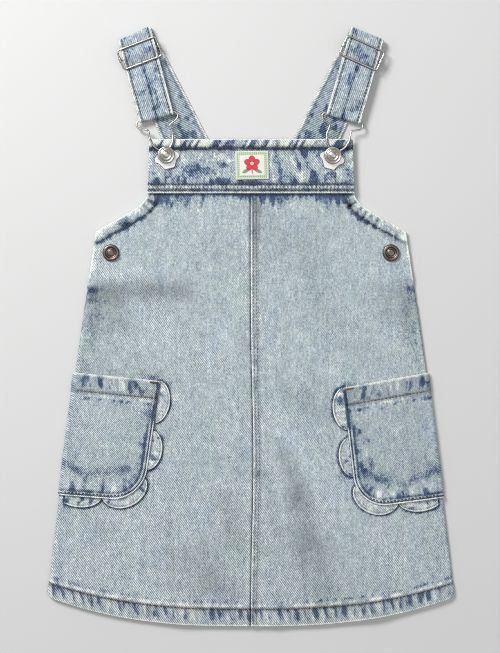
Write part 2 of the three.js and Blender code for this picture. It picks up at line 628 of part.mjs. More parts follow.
function clip(side) {
  const { length, lean } = strapLine(side);
  const half = CLIP_BENDS.map(({ out, up, height }) => new THREE.Vector3(out, up, height));
  const otherHalf = half.map((p) => new THREE.Vector3(-p.x, p.y, p.z)).reverse();
  const loop = wire(bent([...half, ...otherHalf], CLIP.bend, true), new THREE.Vector3(0, 0, 1), true);
  piece(`clip_${side.name}`, onStrap(loop, side, length, lean), steel);

  const right = PLATE_OUTLINE.map(({ half: x, up }) => new THREE.Vector2(x, up));
  const outline = new THREE.Shape([...right, ...right.map((p) => new THREE.Vector2(-p.x, p.y)).reverse()]);
  outline.holes.push(new THREE.Path().absarc(0, 0, BUTTON.stem + GAP, 0, 2 * Math.PI, true));
  for (const ear of [-1, 1]) {
    const hole = new THREE.Path();
    outline.holes.push(hole.absarc(ear * CLIP.earOut, CLIP.earUp, CLIP.earHole, 0, 2 * Math.PI, true));
  }
  const shape = { depth: CLIP.plate, bevelEnabled: false, curveSegments: 8 };
  const plate = new THREE.ExtrudeGeometry(outline, shape);
  piece(`clip_plate_${side.name}`, onStrap(plate.translate(0, 0, PLATE_BASE), side, length, lean), steel);
}

// A domed button over the clip, whose stem goes down through the bib to a flat tack behind it.
function bibButton({ name, sign, buttonX, buttonY }) {
  const tackTop = BIB_MID - BIB_CLOTH / 2 - GAP;
  const { radius, stem, tack } = BUTTON;
  const profile = [
    [0, tackTop - 1.2], [tack, tackTop - 1.2], [tack, tackTop], [stem, tackTop], [stem, BUTTON_BASE],
    [radius - 0.3, BUTTON_BASE], [radius, BUTTON_BASE + 0.5], [radius - 0.5, BUTTON_BASE + 1.1],
    [radius * 0.72, BUTTON_BASE + 1.9], [radius * 0.4, BUTTON_BASE + 2.4], [0, BUTTON_BASE + 2.6],
  ];
  piece(`bib_button_${name}`, turned(profile, sign * buttonX, buttonY), steel);
}

// A ringed button with a raised middle, whose stem goes down through the front and the back of the opening.
function sideButton({ name, sign }) {
  const base = FRONT_MID + DENIM / 2 + GAP;
  const { x, y, radius, stem } = SIDE_BUTTON;
  const profile = [
    [0, 0], [stem, 0], [stem, base], [radius, base], [radius, base + 1], [radius - 0.7, base + 1.9],
    [radius - 1.6, base + 2.1], [radius - 2.6, base + 1.4], [2.8, base + 1.2], [2, base + 1.9], [0, base + 2.1],
  ];
  piece(`side_button_${name}`, turned(profile, sign * x, y), darkSteel);
}

// ---- Assembly ---------------------------------------------------------------------------------------------

bib();
label();
for (const side of SIDES) {
  frontPanel(side, side.sign > 0);
  backPanel(side);
  pocketCloth(side);
  scallopStrip(side);
  strap(side);
  slider(side);
  clip(side);
  bibButton(side);
  sideButton(side);
}

export default skirt;
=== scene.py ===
"""Finish of a toddler's denim overall skirt that lies flat on its back on a pale floor.

The frame gives the hard shape of every piece. This script lays the sewn cloth, the sewing, the buckles and
the buttons over it. Lengths are worked out in millimetres and become metres when a mesh is made.
"""
import math

import bpy
import numpy as np
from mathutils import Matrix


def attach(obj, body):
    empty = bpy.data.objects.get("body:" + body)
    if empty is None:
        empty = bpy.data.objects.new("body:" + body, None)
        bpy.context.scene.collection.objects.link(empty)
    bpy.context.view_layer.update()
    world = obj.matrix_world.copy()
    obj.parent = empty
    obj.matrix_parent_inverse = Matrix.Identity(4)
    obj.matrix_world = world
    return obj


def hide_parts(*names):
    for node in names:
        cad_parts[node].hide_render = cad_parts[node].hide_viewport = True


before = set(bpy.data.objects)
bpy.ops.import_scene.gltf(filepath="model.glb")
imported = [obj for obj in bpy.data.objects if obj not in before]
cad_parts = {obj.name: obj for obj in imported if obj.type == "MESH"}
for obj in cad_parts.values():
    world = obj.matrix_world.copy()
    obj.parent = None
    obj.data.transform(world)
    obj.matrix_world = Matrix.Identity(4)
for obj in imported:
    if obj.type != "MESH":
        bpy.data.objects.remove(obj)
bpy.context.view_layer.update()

bl_info = {
    "name": "Denim Overall Skirt",
    "version": (1, 0, 0),
    "blender": (4, 5, 0),
    "location": "View3D > Sidebar > Overall Skirt",
    "description": "Builds the cloth, sewing and metal of a toddler's overall skirt over its frame",
    "category": "Object",
}

MM = 0.001
TWILL_PITCH = 1.25 * MM
SIDES = {"left": -1, "right": 1}
UPRIGHT, DOWNWARD = np.array([0.0, 0, 1]), np.array([0.0, 0, -1])

# ---- Sizes of the garment, in millimetres -----------------------------------------------------------------

GAP = 0.3
DENIM = 1.2
BIB_CLOTH = 1.8
WIRE = 0.75
EDGE_ROUND = 0.55

HEM_CENTRE_Y, HEM_CORNER_X, HEM_CORNER_Y, HEM_CURVE = -249.1, 169.2, -226.0, 2.6
HEM_CORNER_RADIUS, HEM_DEPTH = 7.0, 13.3
ARMHOLE_X, ARMHOLE_Y, ARMHOLE_TOP_X, ARMHOLE_TOP_Y = 128.8, 78.6, 85.6, 112.0
ARMHOLE_SHARPNESS, ARMHOLE_DEPTH = 1.15, 8.8
SIDE_BOW, SIDE_ROLL, OPENING_END, OPENING_START = 1.8, 1.35, 28.0, 44.0
BIB_BOTTOM, BIB_TOP, BIB_BOTTOM_HALF, BIB_TOP_HALF = 110.4, 155.6, 86.0, 84.4
UNDERLAP = 6.6
STRAIGHT_Y = 60.0
FRONT_MID = DENIM + GAP + DENIM / 2
BIB_MID = DENIM + GAP + DENIM + GAP + BIB_CLOTH / 2
BIB_FACE = BIB_MID + BIB_CLOTH / 2
POCKET_RADIUS, POCKET_SEWN = 26.0, 14.2
CENTRE_ROWS, BACK_ROWS = (2.5, 5.1), (3.4, 6.4)
BIB_SIDE_ROW = 0.82
BACK_TOP, BACK_TOP_HALF = 134.0, 62.0
SCALLOP_CLOTH, SCALLOP_TUCK = 1.1, 4.0
SCALLOP_LIFT = DENIM / 2 + GAP + SCALLOP_CLOTH / 2
POCKET_ON_CLOTH = DENIM + GAP
POCKET_ON_SCALLOPS = SCALLOP_LIFT + SCALLOP_CLOTH / 2 + GAP + DENIM / 2

# A height halfway down the pockets, where the front's width stands for its width along them.
POCKET_LEVEL = -90.0

# Folds of the front: from x, from y, to x, to y, height, half-width.
FOLDS = (
    (20, -60, 62, -146, 2.5, 12), (6, -130, 22, -262, 1.5, 9), (92, -182, 108, -266, 1.6, 15),
    (-20, -130, -62, -254, 1.6, 13), (-132, 42, -70, 36, 2.0, 8), (-134, 6, -104, -12, 1.2, 9),
    (134, 34, 92, 42, 1.8, 8), (10, 26, 54, -30, 1.2, 10), (-62, 84, -54, -40, 1.1, 16),
)

# Painted light and shade of the front's folds, and other broad darker and paler places: from x, from y, to x,
# to y, half-width, change in tone.
PAINTED_LIGHT_AND_SHADE = (
    (-135, 29, -56, 29, 9, -0.30), (-132, 4, -109, 2, 9, -0.20), (-134, 19, -119, 19, 11, -0.14),
    (-139, -39, -76, -42, 8, -0.13), (-125, -21, -84, -24, 6, -0.08), (47, 78, 61, 12, 14, -0.10),
    (114, 24, 137, 22, 7, -0.14), (114, 10, 139, 11, 7, -0.18), (27, 9, 41, -8, 7, 0.06),
    (42, -15, 69, -39, 8, 0.07), (31, -56, 62, -74, 9, -0.11), (27, -83, 79, -149, 9, 0.10),
    (27, -104, 38, -142, 7, -0.17), (39, -144, 44, -181, 11, -0.22), (49, -184, 62, -220, 16, -0.20),
    (-24, -142, -11, -179, 8, -0.17), (-49, -195, -24, -220, 17, -0.20), (-67, -190, -62, -219, 8, -0.07),
    (-19, -3, -16, -94, 12, 0.04), (-109, -194, -92, -206, 17, 0.04), (124, -177, 128, -194, 15, 0.03),
    (-139, -20, -135, -38, 7, -0.10), (86, -194, 84, -219, 10, -0.05), (14, 101, 24, 63, 7, -0.07),
    (-58, 84, 62, 84, 30, -0.03), (18, -108, 52, -196, 6, 0.07), (30, -108, 62, -192, 8, -0.08),
    (-127, 34, -131, -12, 5, -0.10), (127, 34, 131, -12, 5, -0.10), (52, -102, 64, -166, 14, 0.07),
    (112, -192, 138, -222, 14, 0.07), (-112, 18, -98, 2, 8, -0.09), (-8, 60, -8, -190, 5, -0.04),
)

# Places that stayed blue, and pale ones: x, y, half-width, half-height, lean in degrees.
BIB_BLUE = (
    (-81, 140.3, 3.4, 3.4, 0), (-82, 127.4, 4.5, 2.2, 0), (-78, 121.2, 4.5, 2.8, 0),
    (-58, 122.8, 6, 3.8, 10), (-47.7, 128.7, 8.5, 5.5, -15), (-37.4, 129, 6, 3.6, -10),
    (-25, 134.5, 7, 2.6, 0), (-60, 132.4, 4.2, 2.6, 0), (-79, 147, 6, 6, 0), (-24, 121, 7, 2.6, 0),
    (0, 118.5, 9, 3.0, 0), (22.4, 141.5, 3.8, 6, 20), (25, 129, 3.8, 10, 18), (33.5, 124, 3.2, 6, 20),
    (44.8, 144.5, 3.2, 5.5, 20), (52.3, 125.5, 4, 8, 16), (63.5, 124, 6.5, 5, 10), (76.5, 147, 6, 6.5, 0),
    (82, 124, 3.4, 8, 0), (-58, 147.5, 5, 4, 0), (40, 134, 2.6, 6, 20), (60, 143, 3, 6, 20),
    (-68, 127, 3.5, 4, 0),
)
BIB_PALE = ((-63, 133, 4, 7, 15), (-24, 139, 7, 6, 0), (35, 137, 2.6, 9, 22), (53, 136, 2.8, 8, 20),
            (-72, 135, 4, 5, 0), (16, 130, 3, 8, 10), (40, 124, 3, 4, 20), (-8, 146, 5, 2, 0))
POCKET_BLUE = {
    "left": ((-136.5, -46, 2.4, 7, 0), (-125, -47, 2.6, 7.5, 0), (-98, -50.5, 3.2, 7.5, 0),
             (-90.5, -51.5, 2, 7.5, 5), (-80, -74.7, 7.5, 8, 0), (-148.6, -133, 2.2, 6, 0),
             (-137, -133, 2.2, 6, 0), (-121.6, -132, 3.2, 6.5, 0), (-104, -134.5, 8, 5, 0),
             (-88, -96, 2.4, 7, 0), (-91, -112, 2.4, 5, 0)),
    "right": ((95.2, -55.7, 4.2, 6.5, 10), (107, -55.2, 2.4, 4.2, 0), (113.7, -53.5, 2, 4.2, 0),
              (129.5, -46, 1.6, 5.5, 12), (143.2, -43.6, 2.4, 5.2, 0), (90, -69.3, 9.5, 3, 5),
              (107, -67.6, 4.8, 2, 8), (83.8, -77.6, 3.2, 9.5, 6), (89.6, -88.4, 2.4, 3.2, 0),
              (97, -95.9, 2.8, 3.6, 0), (99.6, -113.3, 2.6, 4, 0), (93, -120, 3, 6.5, 8),
              (100.4, -136.5, 4.8, 4.8, 0), (111, -137.4, 2.4, 6, 0), (124.5, -139.9, 2.4, 4.8, 0),
              (149.4, -137.4, 4.2, 6, 0), (156, -139, 2.2, 5, 0)),
}
POCKET_ARCH = {
    "left": ((-154, -113), (-140, -120), (-125, -123), (-115, -119), (-105, -118), (-95, -121)),
    "right": ((90, -116), (97, -124), (107, -128), (128, -130), (140, -126), (150, -121)),
}
POCKET_PALE = {
    "left": ((-131, -47, 2.4, 7, 0), (-110, -49, 6, 6.5, 0), (-113, -133, 4.5, 7, 0),
             (-130, -133, 3.6, 7, 0), (-143, -133, 2.6, 7, 0), (-96, -110, 4, 9, 0), (-90, -60, 6, 1.6, 0)),
    "right": ((88, -57, 3, 5, 0), (121, -49, 6, 5, 8), (90, -79, 1.6, 5, 40), (95, -104, 2.4, 8, 0),
              (106, -136.5, 2.6, 6, 0), (117.5, -137, 3.4, 5, 0), (136, -135, 6, 5, 5),
              (101, -60, 1.8, 5, 0)),
}

# Distances across at which a deep pucker crosses the armhole hem.
ARM_PINCHES = {"left": (81.5, 84.2, 87.5, 90.5, 104.5, 107.4, 110.2),
               "right": (84.7, 88.4, 93.0, 97.1, 101.3, 106.5)}

# How far the blue reaches down below the bib: distance across and reach.
BLUE_BELOW = ((-88, 5), (-76, 10), (-66, 12), (-53, 9), (-41, 11), (-36, 4), (-22, 3), (-6, 6), (-2, 12),
              (4, 6), (12, 8), (17, 9), (25, 8), (31, 4), (51, 4), (59, 8), (68, 10), (77, 6), (88, 5))

# Each pocket: top x, top y, top slope, bottom x, bottom y, bottom slope.
POCKETS = {
    "left": (75.0, -45.2, 0.10, 90.0, -143.0, 0.075),
    "right": (76.2, -50.8, 0.18, 88.0, -148.0, 0.13),
}

# Each scallop: where it starts along the pocket's edge, its length there and its depth.
SCALLOPS = ((0.0, 35.5, 11.4), (41.5, 33.0, 11.0), (82.0, 42.0, 10.0), (124.5, 37.0, 10.0))

# Each strap: button x, button y, lean of the fold and of the slider in degrees.
STRAPS = {"left": (70.2, 142.0, 24.4, 21.0), "right": (67.8, 141.6, 22.2, 24.5)}
STRAP_CLOTH, STRAP_HALF, STRAP_BACK_HALF, BACK_LEAN = 1.2, 14.7, 18.6, 25.5
FOLD_X, FOLD_Y, BACK_LENGTH, LEAVE_BACK, REACH_FLOOR, SETTLE = 96.7, 242.9, 127.5, 112.0, 108.0, 45.0
SLIDER_DOWN, SLIDER_HALF_LENGTH, SLIDER_HALF_HEIGHT, CLIP_LENGTH = 17.0, 16.9, 8.4, 33.5
STRAP_DIP, STRAP_ROW = 0.8, 2.9
RETURN_MID = STRAP_CLOTH * 1.5 + GAP
WRAP = WIRE + GAP + STRAP_CLOTH / 2
BAR_HEIGHT = RETURN_MID + WRAP
STRAP_FRONT = BAR_HEIGHT + WRAP
OVER_BAR = STRAP_FRONT + STRAP_CLOTH + GAP
UNDER_BAR = STRAP_FRONT - STRAP_DIP
FRAME_HEIGHT = UNDER_BAR + STRAP_CLOTH / 2 + GAP + WIRE
BIB_RISE, PLATE_THICKNESS = 0.4, 0.8
PLATE_BASE = BIB_FACE + BIB_RISE + GAP
CLIP_HEIGHT = PLATE_BASE + PLATE_THICKNESS + GAP + WIRE
BUTTON_BASE = CLIP_HEIGHT + WIRE + GAP
SIDE_BUTTON_X, SIDE_BUTTON_Y = 116.2, 61.2

# Each kind of sewing: its thread, the thread's radius and how deep the stitches sink into the cloth.
SEAM_SEWING = ("seam_thread", 0.46, 0.12)
CENTRE_SEWING = ("centre_thread", 0.34, 0.12)
POCKET_SEWING = ("pocket_thread", 0.46, 0.12)
TACK_SEWING = ("pocket_thread", 0.28, 0.12)
BACK_SEWING = ("seam_thread", 0.27, 0.42)
LOWEST_STITCH = 0.02

LABEL_X, LABEL_Y, LABEL_WIDTH, LABEL_HEIGHT, LABEL_CLOTH, LABEL_TURN = 0.9, 133.6, 27.5, 23.6, 0.8, 1.2


# ---- Number helpers ---------------------------------------------------------------------------------------

def smooth(value, low, high):
    """0 below low, 1 above high and an S-shaped rise between them."""
    share = np.clip((value - low) / (high - low), 0, 1)
    return share * share * (3 - 2 * share)


def fall(value, low, high):
    """1 below low, 0 above high and an S-shaped drop between them."""
    return 1 - smooth(value, low, high)


def hump(value, centre, width):
    """A bell curve of height 1 about the centre, which is down to about a third at the width."""
    return np.exp(-(((value - centre) / width) ** 2))


def cloudy(u, v, seed):
    """Smooth random waves from -1 to 1: random values on whole-number points, blended between them."""
    u, v = np.broadcast_arrays(np.asarray(u, float), np.asarray(v, float))
    lattice = np.random.default_rng(seed).uniform(-1, 1, (128, 128))
    i, j = np.floor(u).astype(int), np.floor(v).astype(int)
    a, b = smooth(u - i, 0, 1), smooth(v - j, 0, 1)
    near = lattice[i % 128, j % 128] * (1 - a) + lattice[(i + 1) % 128, j % 128] * a
    far = lattice[i % 128, (j + 1) % 128] * (1 - a) + lattice[(i + 1) % 128, (j + 1) % 128] * a
    return (near * (1 - b) + far * b) * 1.3


def torn(u, v, seed):
    """Cloudy waves with two finer ones on them."""
    return (cloudy(u, v, seed) + 0.5 * cloudy(2.1 * u, 2.1 * v, seed + 1)
            + 0.3 * cloudy(4.3 * u, 4.3 * v, seed + 2)) / 1.4


def blots(x, y, places, seed, rough=0.45):
    """1 inside torn-edged ellipses, each with a middle, half a width and height, and a lean in degrees."""
    ragged = rough * torn(x / 5.0, y / 6.0, seed)
    most = np.zeros(np.broadcast(x, y).shape)
    for at_x, at_y, half_x, half_y, lean in places:
        turn = math.radians(lean)
        a = (x - at_x) * math.cos(turn) + (y - at_y) * math.sin(turn)
        b = (y - at_y) * math.cos(turn) - (x - at_x) * math.sin(turn)
        most = np.maximum(most, fall(np.hypot(a / half_x, b / half_y) + ragged, 0.45, 1.35))
    return most


def spaced(*stretches):
    """Positions from (start, step) pairs: each stretch runs to the next start in even steps."""
    lines = []
    for (start, step), (end, _) in zip(stretches, stretches[1:]):
        count = max(int(math.ceil(abs(end - start) / step)), 1)
        lines.append(np.linspace(start, end, count, endpoint=False))
    return np.concatenate(lines + [[stretches[-1][0]]])


def seam_space(x, y, line):
    """Distance from each point to a line of points, and how far along that line its nearest point lies."""
    start, run = line[:-1], np.diff(line, axis=0)
    square = (run ** 2).sum(1)
    before = np.concatenate([[0], np.cumsum(np.sqrt(square))[:-1]])
    points = np.stack([np.ravel(x), np.ravel(y)], 1)
    offset = points[:, None] - start
    share = np.clip((offset * run).sum(2) / square, 0, 1)
    gap = np.linalg.norm(offset - share[..., None] * run, axis=2)
    best = gap.argmin(1)
    pick = np.arange(len(points)), best
    along = before[best] + share[pick] * np.sqrt(square[best])
    return gap[pick].reshape(np.shape(x)), along.reshape(np.shape(x))


def lengths(line):
    """How far along a line each of its points lies."""
    return np.concatenate([[0], np.cumsum(np.linalg.norm(np.diff(line, axis=0), axis=1))])


def resampled(line, step):
    """The line's points at even steps along it."""
    at = lengths(line)
    count = max(int(round(at[-1] / step)), 2)
    wanted = np.linspace(0, at[-1], count + 1)
    return np.stack([np.interp(wanted, at, line[:, k]) for k in range(line.shape[1])], 1)


# ---- Lie of the cloth -------------------------------------------------------------------------------------

def painted_light_and_shade(x, y):
    """Sum of the painted broad light and shade: a bell across each one's line that fades towards its ends."""
    change = np.zeros(np.broadcast(x, y).shape)
    for from_x, from_y, to_x, to_y, half, amount in PAINTED_LIGHT_AND_SHADE:
        dx, dy = to_x - from_x, to_y - from_y
        along = np.clip(((x - from_x) * dx + (y - from_y) * dy) / (dx * dx + dy * dy), 0, 1)
        away = np.hypot(x - from_x - along * dx, y - from_y - along * dy)
        change += amount * hump(away, 0, half)
    return change


def half_width(y):
    """Half of the front's width: a flared, bowed side, a rounded hem corner and a scooped armhole."""
    y = np.asarray(y, float)
    down = (ARMHOLE_Y - y) / (ARMHOLE_Y - HEM_CORNER_Y)
    flare = ARMHOLE_X + (HEM_CORNER_X - ARMHOLE_X) * down + SIDE_BOW * np.sin(np.pi * np.clip(down, 0, 1))
    corner = np.clip(HEM_CORNER_RADIUS - (y - HEM_CORNER_Y), 0, HEM_CORNER_RADIUS)
    rounded = flare - HEM_CORNER_RADIUS + np.sqrt(HEM_CORNER_RADIUS ** 2 - corner ** 2)
    up = np.clip((y - ARMHOLE_Y) / (ARMHOLE_TOP_Y - ARMHOLE_Y), 0, 1)
    scoop = ARMHOLE_X + (ARMHOLE_TOP_X - ARMHOLE_X) * np.sin(up * np.pi / 2) ** ARMHOLE_SHARPNESS
    return np.where(y <= ARMHOLE_Y, rounded, scoop)


def sag(share):
    """How far below the hem's corners the hem lies at a share of the way out from the centre."""
    return (HEM_CORNER_Y - HEM_CENTRE_Y) * (1 - np.clip(share, 0, 1) ** HEM_CURVE)


def fold_height(x, y):
    """Sum of the soft folds: a bell across each fold's line and half a wave along it, flat at the side."""
    height = np.zeros(np.broadcast(x, y).shape)
    for from_x, from_y, to_x, to_y, tall, half in FOLDS:
        dx, dy = to_x - from_x, to_y - from_y
        along = np.clip(((x - from_x) * dx + (y - from_y) * dy) / (dx * dx + dy * dy), 0, 1)
        away = np.hypot(x - from_x - along * dx, y - from_y - along * dy)
        height += tall * hump(away, 0, half) * np.sin(np.pi * (0.12 + 0.76 * along))
    edge = half_width(np.maximum(y, 0)) - np.abs(x)
    return height * smooth(edge, 1, 14) * fall(y, 70, 104)


def across(y):
    """Reach of the flat part of the cloth, of its rolled side and of its end, across the garment."""
    roll = fall(np.asarray(y, float), OPENING_END, OPENING_START)
    flat = half_width(y) - DENIM / 2 * roll - SIDE_ROLL * np.sin(roll * np.pi / 2)
    arc = SIDE_ROLL * roll * np.pi / 2
    return flat, arc, flat + arc + (FRONT_MID - SIDE_ROLL - 0.1) * roll


def front_point(s, y, lift, side_y=None):
    """Points s across the front at height y, lifted off its middle surface along its normal.

    Up to the flat reach the height is the folds' height and the normal leans with their slopes. Past it the
    cloth turns down round a quarter circle and goes straight down to the surface it lies on.
    """
    s, y, lift = np.broadcast_arrays(*(np.asarray(k, float) for k in (s, y, lift)))
    side_y = y if side_y is None else side_y
    flat, arc, _ = across(side_y)
    past = np.clip(np.abs(s) - flat, 0, None)
    turn = np.minimum(past, arc) / SIDE_ROLL
    straight = np.maximum(past - arc, 0)
    e = 0.5
    slope_x = (fold_height(s + e, y) - fold_height(s - e, y)) / (2 * e)
    slope_y = (fold_height(s, y + e) - fold_height(s, y - e)) / (2 * e)
    side = np.sign(s)
    normal = np.stack([np.sin(turn) * side - slope_x, -slope_y, np.cos(turn)], -1)
    normal /= np.linalg.norm(normal, axis=-1, keepdims=True)
    x = np.minimum(np.abs(s), flat) + SIDE_ROLL * np.sin(turn) + straight * np.cos(turn)
    z = FRONT_MID + fold_height(s, y) - SIDE_ROLL * (1 - np.cos(turn)) - straight * np.sin(turn)
    return np.stack([x * side, y, z], -1) + normal * lift[..., None], normal


def seam_drift(y):
    """How far the centre seam wanders to the right of the middle on its way down."""
    return 2.3 * hump(np.asarray(y, float), -112, 80) - 0.5


def armhole_line(inset=0.0):
    """The armhole's edge from its lower corner up, or a line inside it, moved in along its own normal."""
    y = np.linspace(ARMHOLE_Y, ARMHOLE_TOP_Y, 60)
    line = np.stack([half_width(y), y], 1)
    run = np.gradient(line, axis=0)
    inward = np.stack([-run[:, 1], run[:, 0]], 1) / np.linalg.norm(run, axis=1)[:, None]
    return line + inward * inset


def pocket_height(side):
    """How far below the inner end of a pocket's mouth its lower edge lies."""
    return POCKETS[side][1] - POCKETS[side][4]


def pocket_inner(side, down):
    """The pocket's inner edge at a share of the way down: a slanting line with a round lower corner."""
    top_x, top_y, _, bottom_x, bottom_y, _ = POCKETS[side]
    above = (1 - down) * (top_y - bottom_y)
    corner = np.clip(POCKET_RADIUS - above, 0, POCKET_RADIUS)
    return top_x + (bottom_x - top_x) * down + POCKET_RADIUS - np.sqrt(POCKET_RADIUS ** 2 - corner ** 2)


def pocket_y(side, x, down):
    """Height of the line that lies a share of the way from the pocket's mouth to its lower edge."""
    top_x, top_y, top_slope, bottom_x, bottom_y, bottom_slope = POCKETS[side]
    top = top_y + top_slope * (x - top_x)
    bottom = bottom_y + bottom_slope * (x - bottom_x - POCKET_RADIUS)
    return top + (bottom - top) * down


def pocket_edge(side, end=0.0):
    """The pocket's inner and lower edge as a line of points, from the mouth round to the side seam."""
    down = np.linspace(0, 1, 160) ** 0.8
    x = pocket_inner(side, down)
    inner = np.stack([x, pocket_y(side, x, down)], 1)
    last = across(POCKETS[side][4])[0] - end
    x = np.linspace(inner[-1, 0], last, 40)[1:]
    return np.concatenate([inner, np.stack([x, pocket_y(side, x, 1.0)], 1)])


def scallop_reach(at):
    """How far the scallops stand out past the pocket's edge: a half ellipse over each one's length."""
    reach = np.full(np.shape(at), -0.9)
    for start, length, depth in SCALLOPS:
        share = np.clip((at - start) / length, 0, 1)
        reach = np.maximum(reach, depth * np.sqrt(1 - (2 * share - 1) ** 2) - 0.9)
    return reach


# ---- Meshes -----------------------------------------------------------------------------------------------

def new_piece(name, points, faces, material, slot, smooth_faces=True, uv=None, **marks):
    """An object from points in millimetres and faces of equal length, turned to face outwards if needed."""
    faces = np.asarray(faces, dtype=np.int32)
    corners = points[faces]
    fans = sum(np.einsum("ij,ij->i", corners[:, 0], np.cross(corners[:, k], corners[:, k + 1]))
               for k in range(1, faces.shape[1] - 1))
    if fans.sum() < 0:
        faces = faces[:, ::-1]
    mesh = bpy.data.meshes.new(name)
    mesh.vertices.add(len(points))
    mesh.vertices.foreach_set("co", np.ravel(points * MM).astype(np.float32))
    mesh.loops.add(faces.size)
    mesh.loops.foreach_set("vertex_index", np.ravel(faces))
    mesh.polygons.add(len(faces))
    mesh.polygons.foreach_set("loop_start", np.arange(len(faces), dtype=np.int32) * faces.shape[1])
    mesh.update(calc_edges=True)
    mesh.polygons.foreach_set("use_smooth", np.full(len(faces), smooth_faces))
    if uv is not None:
        layer = mesh.uv_layers.new(name="cloth")
        layer.data.foreach_set("uv", np.ravel(uv[np.ravel(faces)] * MM).astype(np.float32))
    for mark, values in marks.items():
        kind, field = ("FLOAT", "value") if values.ndim == 1 else ("FLOAT_VECTOR", "vector")
        mesh.attributes.new(mark, kind, "POINT").data.foreach_set(field, np.ravel(values).astype(np.float32))
    mesh.validate(clean_customdata=False)
    # The upward part of each point's normal, kept for the metals, which paint shade on faces turned away from
    # above.
    directions = np.empty(3 * len(mesh.vertices), np.float32)
    mesh.vertex_normals.foreach_get("vector", directions)
    mesh.attributes.new("upward", "FLOAT", "POINT").data.foreach_set("value", directions[2::3].copy())
    piece = bpy.data.objects.new(name, mesh)
    bpy.context.scene.collection.objects.link(piece)
    mesh.materials.append(material)
    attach(piece, "root")
    return piece


def edge_share(middle):
    """Share of the full thickness over a grid: a quarter round that rises from its four borders."""
    def from_ends(axis):
        run = np.linalg.norm(np.diff(middle, axis=axis), axis=2)
        start = np.cumsum(np.insert(run, 0, 0, axis=axis), axis=axis)
        return np.minimum(start, np.take(start, [-1], axis=axis) - start)
    near = np.clip(np.minimum(from_ends(0), from_ends(1)) / EDGE_ROUND, 0, 1)
    return np.sqrt(1 - (1 - near) ** 2)


def cloth_piece(name, lay, thickness, material, slot, hidden_wear=-0.15):
    """A closed shell of cloth round a middle surface on a grid.

    The outer face is the middle plus its normal times half the thickness and the relief. The inner face is
    the middle less the normal times half the thickness. Both meet in the border, where the thickness is nil.
    """
    middle, normal = lay["middle"], lay["normal"]
    rows, columns = middle.shape[:2]
    share = edge_share(middle)[..., None]
    outer = middle + normal * share * (thickness / 2 + lay["relief"][..., None])
    inner = middle - normal * share * (thickness / 2)
    number = np.arange(rows * columns).reshape(rows, columns)
    below = number.copy()
    count = (rows - 2) * (columns - 2)
    below[1:-1, 1:-1] = rows * columns + np.arange(count).reshape(rows - 2, columns - 2)

    def quads(grid):
        return np.stack([grid[:-1, :-1], grid[:-1, 1:], grid[1:, 1:], grid[1:, :-1]], -1).reshape(-1, 4)

    def both(outside, inside):
        shape = (-1,) + outside.shape[2:]
        return np.concatenate([outside.reshape(shape), inside[1:-1, 1:-1].reshape(shape)])

    wear, shade, alike = lay["wear"], lay["shade"], hidden_wear is None
    return new_piece(
        name, both(outer, inner), np.concatenate([quads(number), quads(below)[:, ::-1]]), material, slot,
        uv=both(lay["uv"], lay["uv"]), wear=both(wear, wear if alike else np.full_like(wear, hidden_wear)),
        shade=both(shade, shade if alike else 0 * shade), seam=both(lay["seam"], lay["seam"] * float(alike)))


def ring_faces(rings, sides, closed):
    """Quads between neighbouring rings of points, which are numbered ring by ring."""
    here, k = np.arange(rings if closed else rings - 1)[:, None], np.arange(sides)
    beyond, beside = (here + 1) % rings, (k + 1) % sides
    quads = [here * sides + k, here * sides + beside, beyond * sides + beside, beyond * sides + k]
    return np.stack(quads, -1).reshape(-1, 4)


def tube(path, radius, sides, upright, closed):
    """Rings of points round a path: at each, the upright made square to the path and the direction aside."""
    before, after = np.roll(path, 1, 0), np.roll(path, -1, 0)
    if not closed:
        before[0], after[-1] = path[0], path[-1]
    along = after - before
    along /= np.linalg.norm(along, axis=1)[:, None]
    up = upright - (along @ upright)[:, None] * along
    up /= np.linalg.norm(up, axis=1)[:, None]
    aside = np.cross(along, up)
    turn = np.arange(sides) * 2 * np.pi / sides
    around = up[:, None] * np.cos(turn)[:, None] + aside[:, None] * np.sin(turn)[:, None]
    points = path[:, None] + around * np.reshape(radius, (-1, 1, 1))
    return points.reshape(-1, 3), ring_faces(len(path), sides, closed)


def bent(points, radius, closed, steps=7):
    """The points with each corner replaced by a short curve that is tangent to both its sides."""
    points = np.asarray(points, float)
    line = []
    for k, corner in enumerate(points):
        if not closed and k in (0, len(points) - 1):
            line.append(corner[None])
            continue
        before, after = points[k - 1] - corner, points[(k + 1) % len(points)] - corner
        start = corner + before * min(radius / np.linalg.norm(before), 0.45)
        end = corner + after * min(radius / np.linalg.norm(after), 0.45)
        t = np.linspace(0, 1, steps)[:, None]
        line.append((1 - t) ** 2 * start + 2 * t * (1 - t) * corner + t * t * end)
    return np.concatenate(line)


def ring_line(corners, radius, step, curve_steps=7):
    """A closed line through corners rounded to a radius, as points at even steps along it."""
    loop = bent(corners, radius, True, curve_steps)
    return resampled(np.concatenate([loop, loop[:1]]), step)[:-1]


def turned(profile, sides=56):
    """A shape turned about the upright axis from (radius, height) pairs, closed at both ends."""
    profile = np.maximum(np.asarray(profile, float), [0.01, -99])
    angle = np.arange(sides) * 2 * np.pi / sides
    points = np.stack([np.outer(profile[:, 0], np.cos(angle)), np.outer(profile[:, 0], np.sin(angle)),
                       np.repeat(profile[:, 1:], sides, 1)], -1).reshape(-1, 3)
    k = np.arange(0, sides, 2)
    rim = np.stack([k, k + 1, (k + 2) % sides], -1)
    first = np.column_stack([np.full(len(k), len(points)), rim])[:, ::-1]
    last = np.column_stack([np.full(len(k), len(points) + 1), rim + (len(profile) - 1) * sides])
    centres = [[0, 0, profile[0, 1]], [0, 0, profile[-1, 1]]]
    faces = ring_faces(len(profile), sides, False)
    return np.concatenate([points, centres]), np.concatenate([faces, first, last])


def joined(parts):
    """One set of points and faces from several."""
    points, faces, offset = [], [], 0
    for part_points, part_faces in parts:
        points.append(part_points)
        faces.append(part_faces + offset)
        offset += len(part_points)
    return np.concatenate(points), np.concatenate(faces)


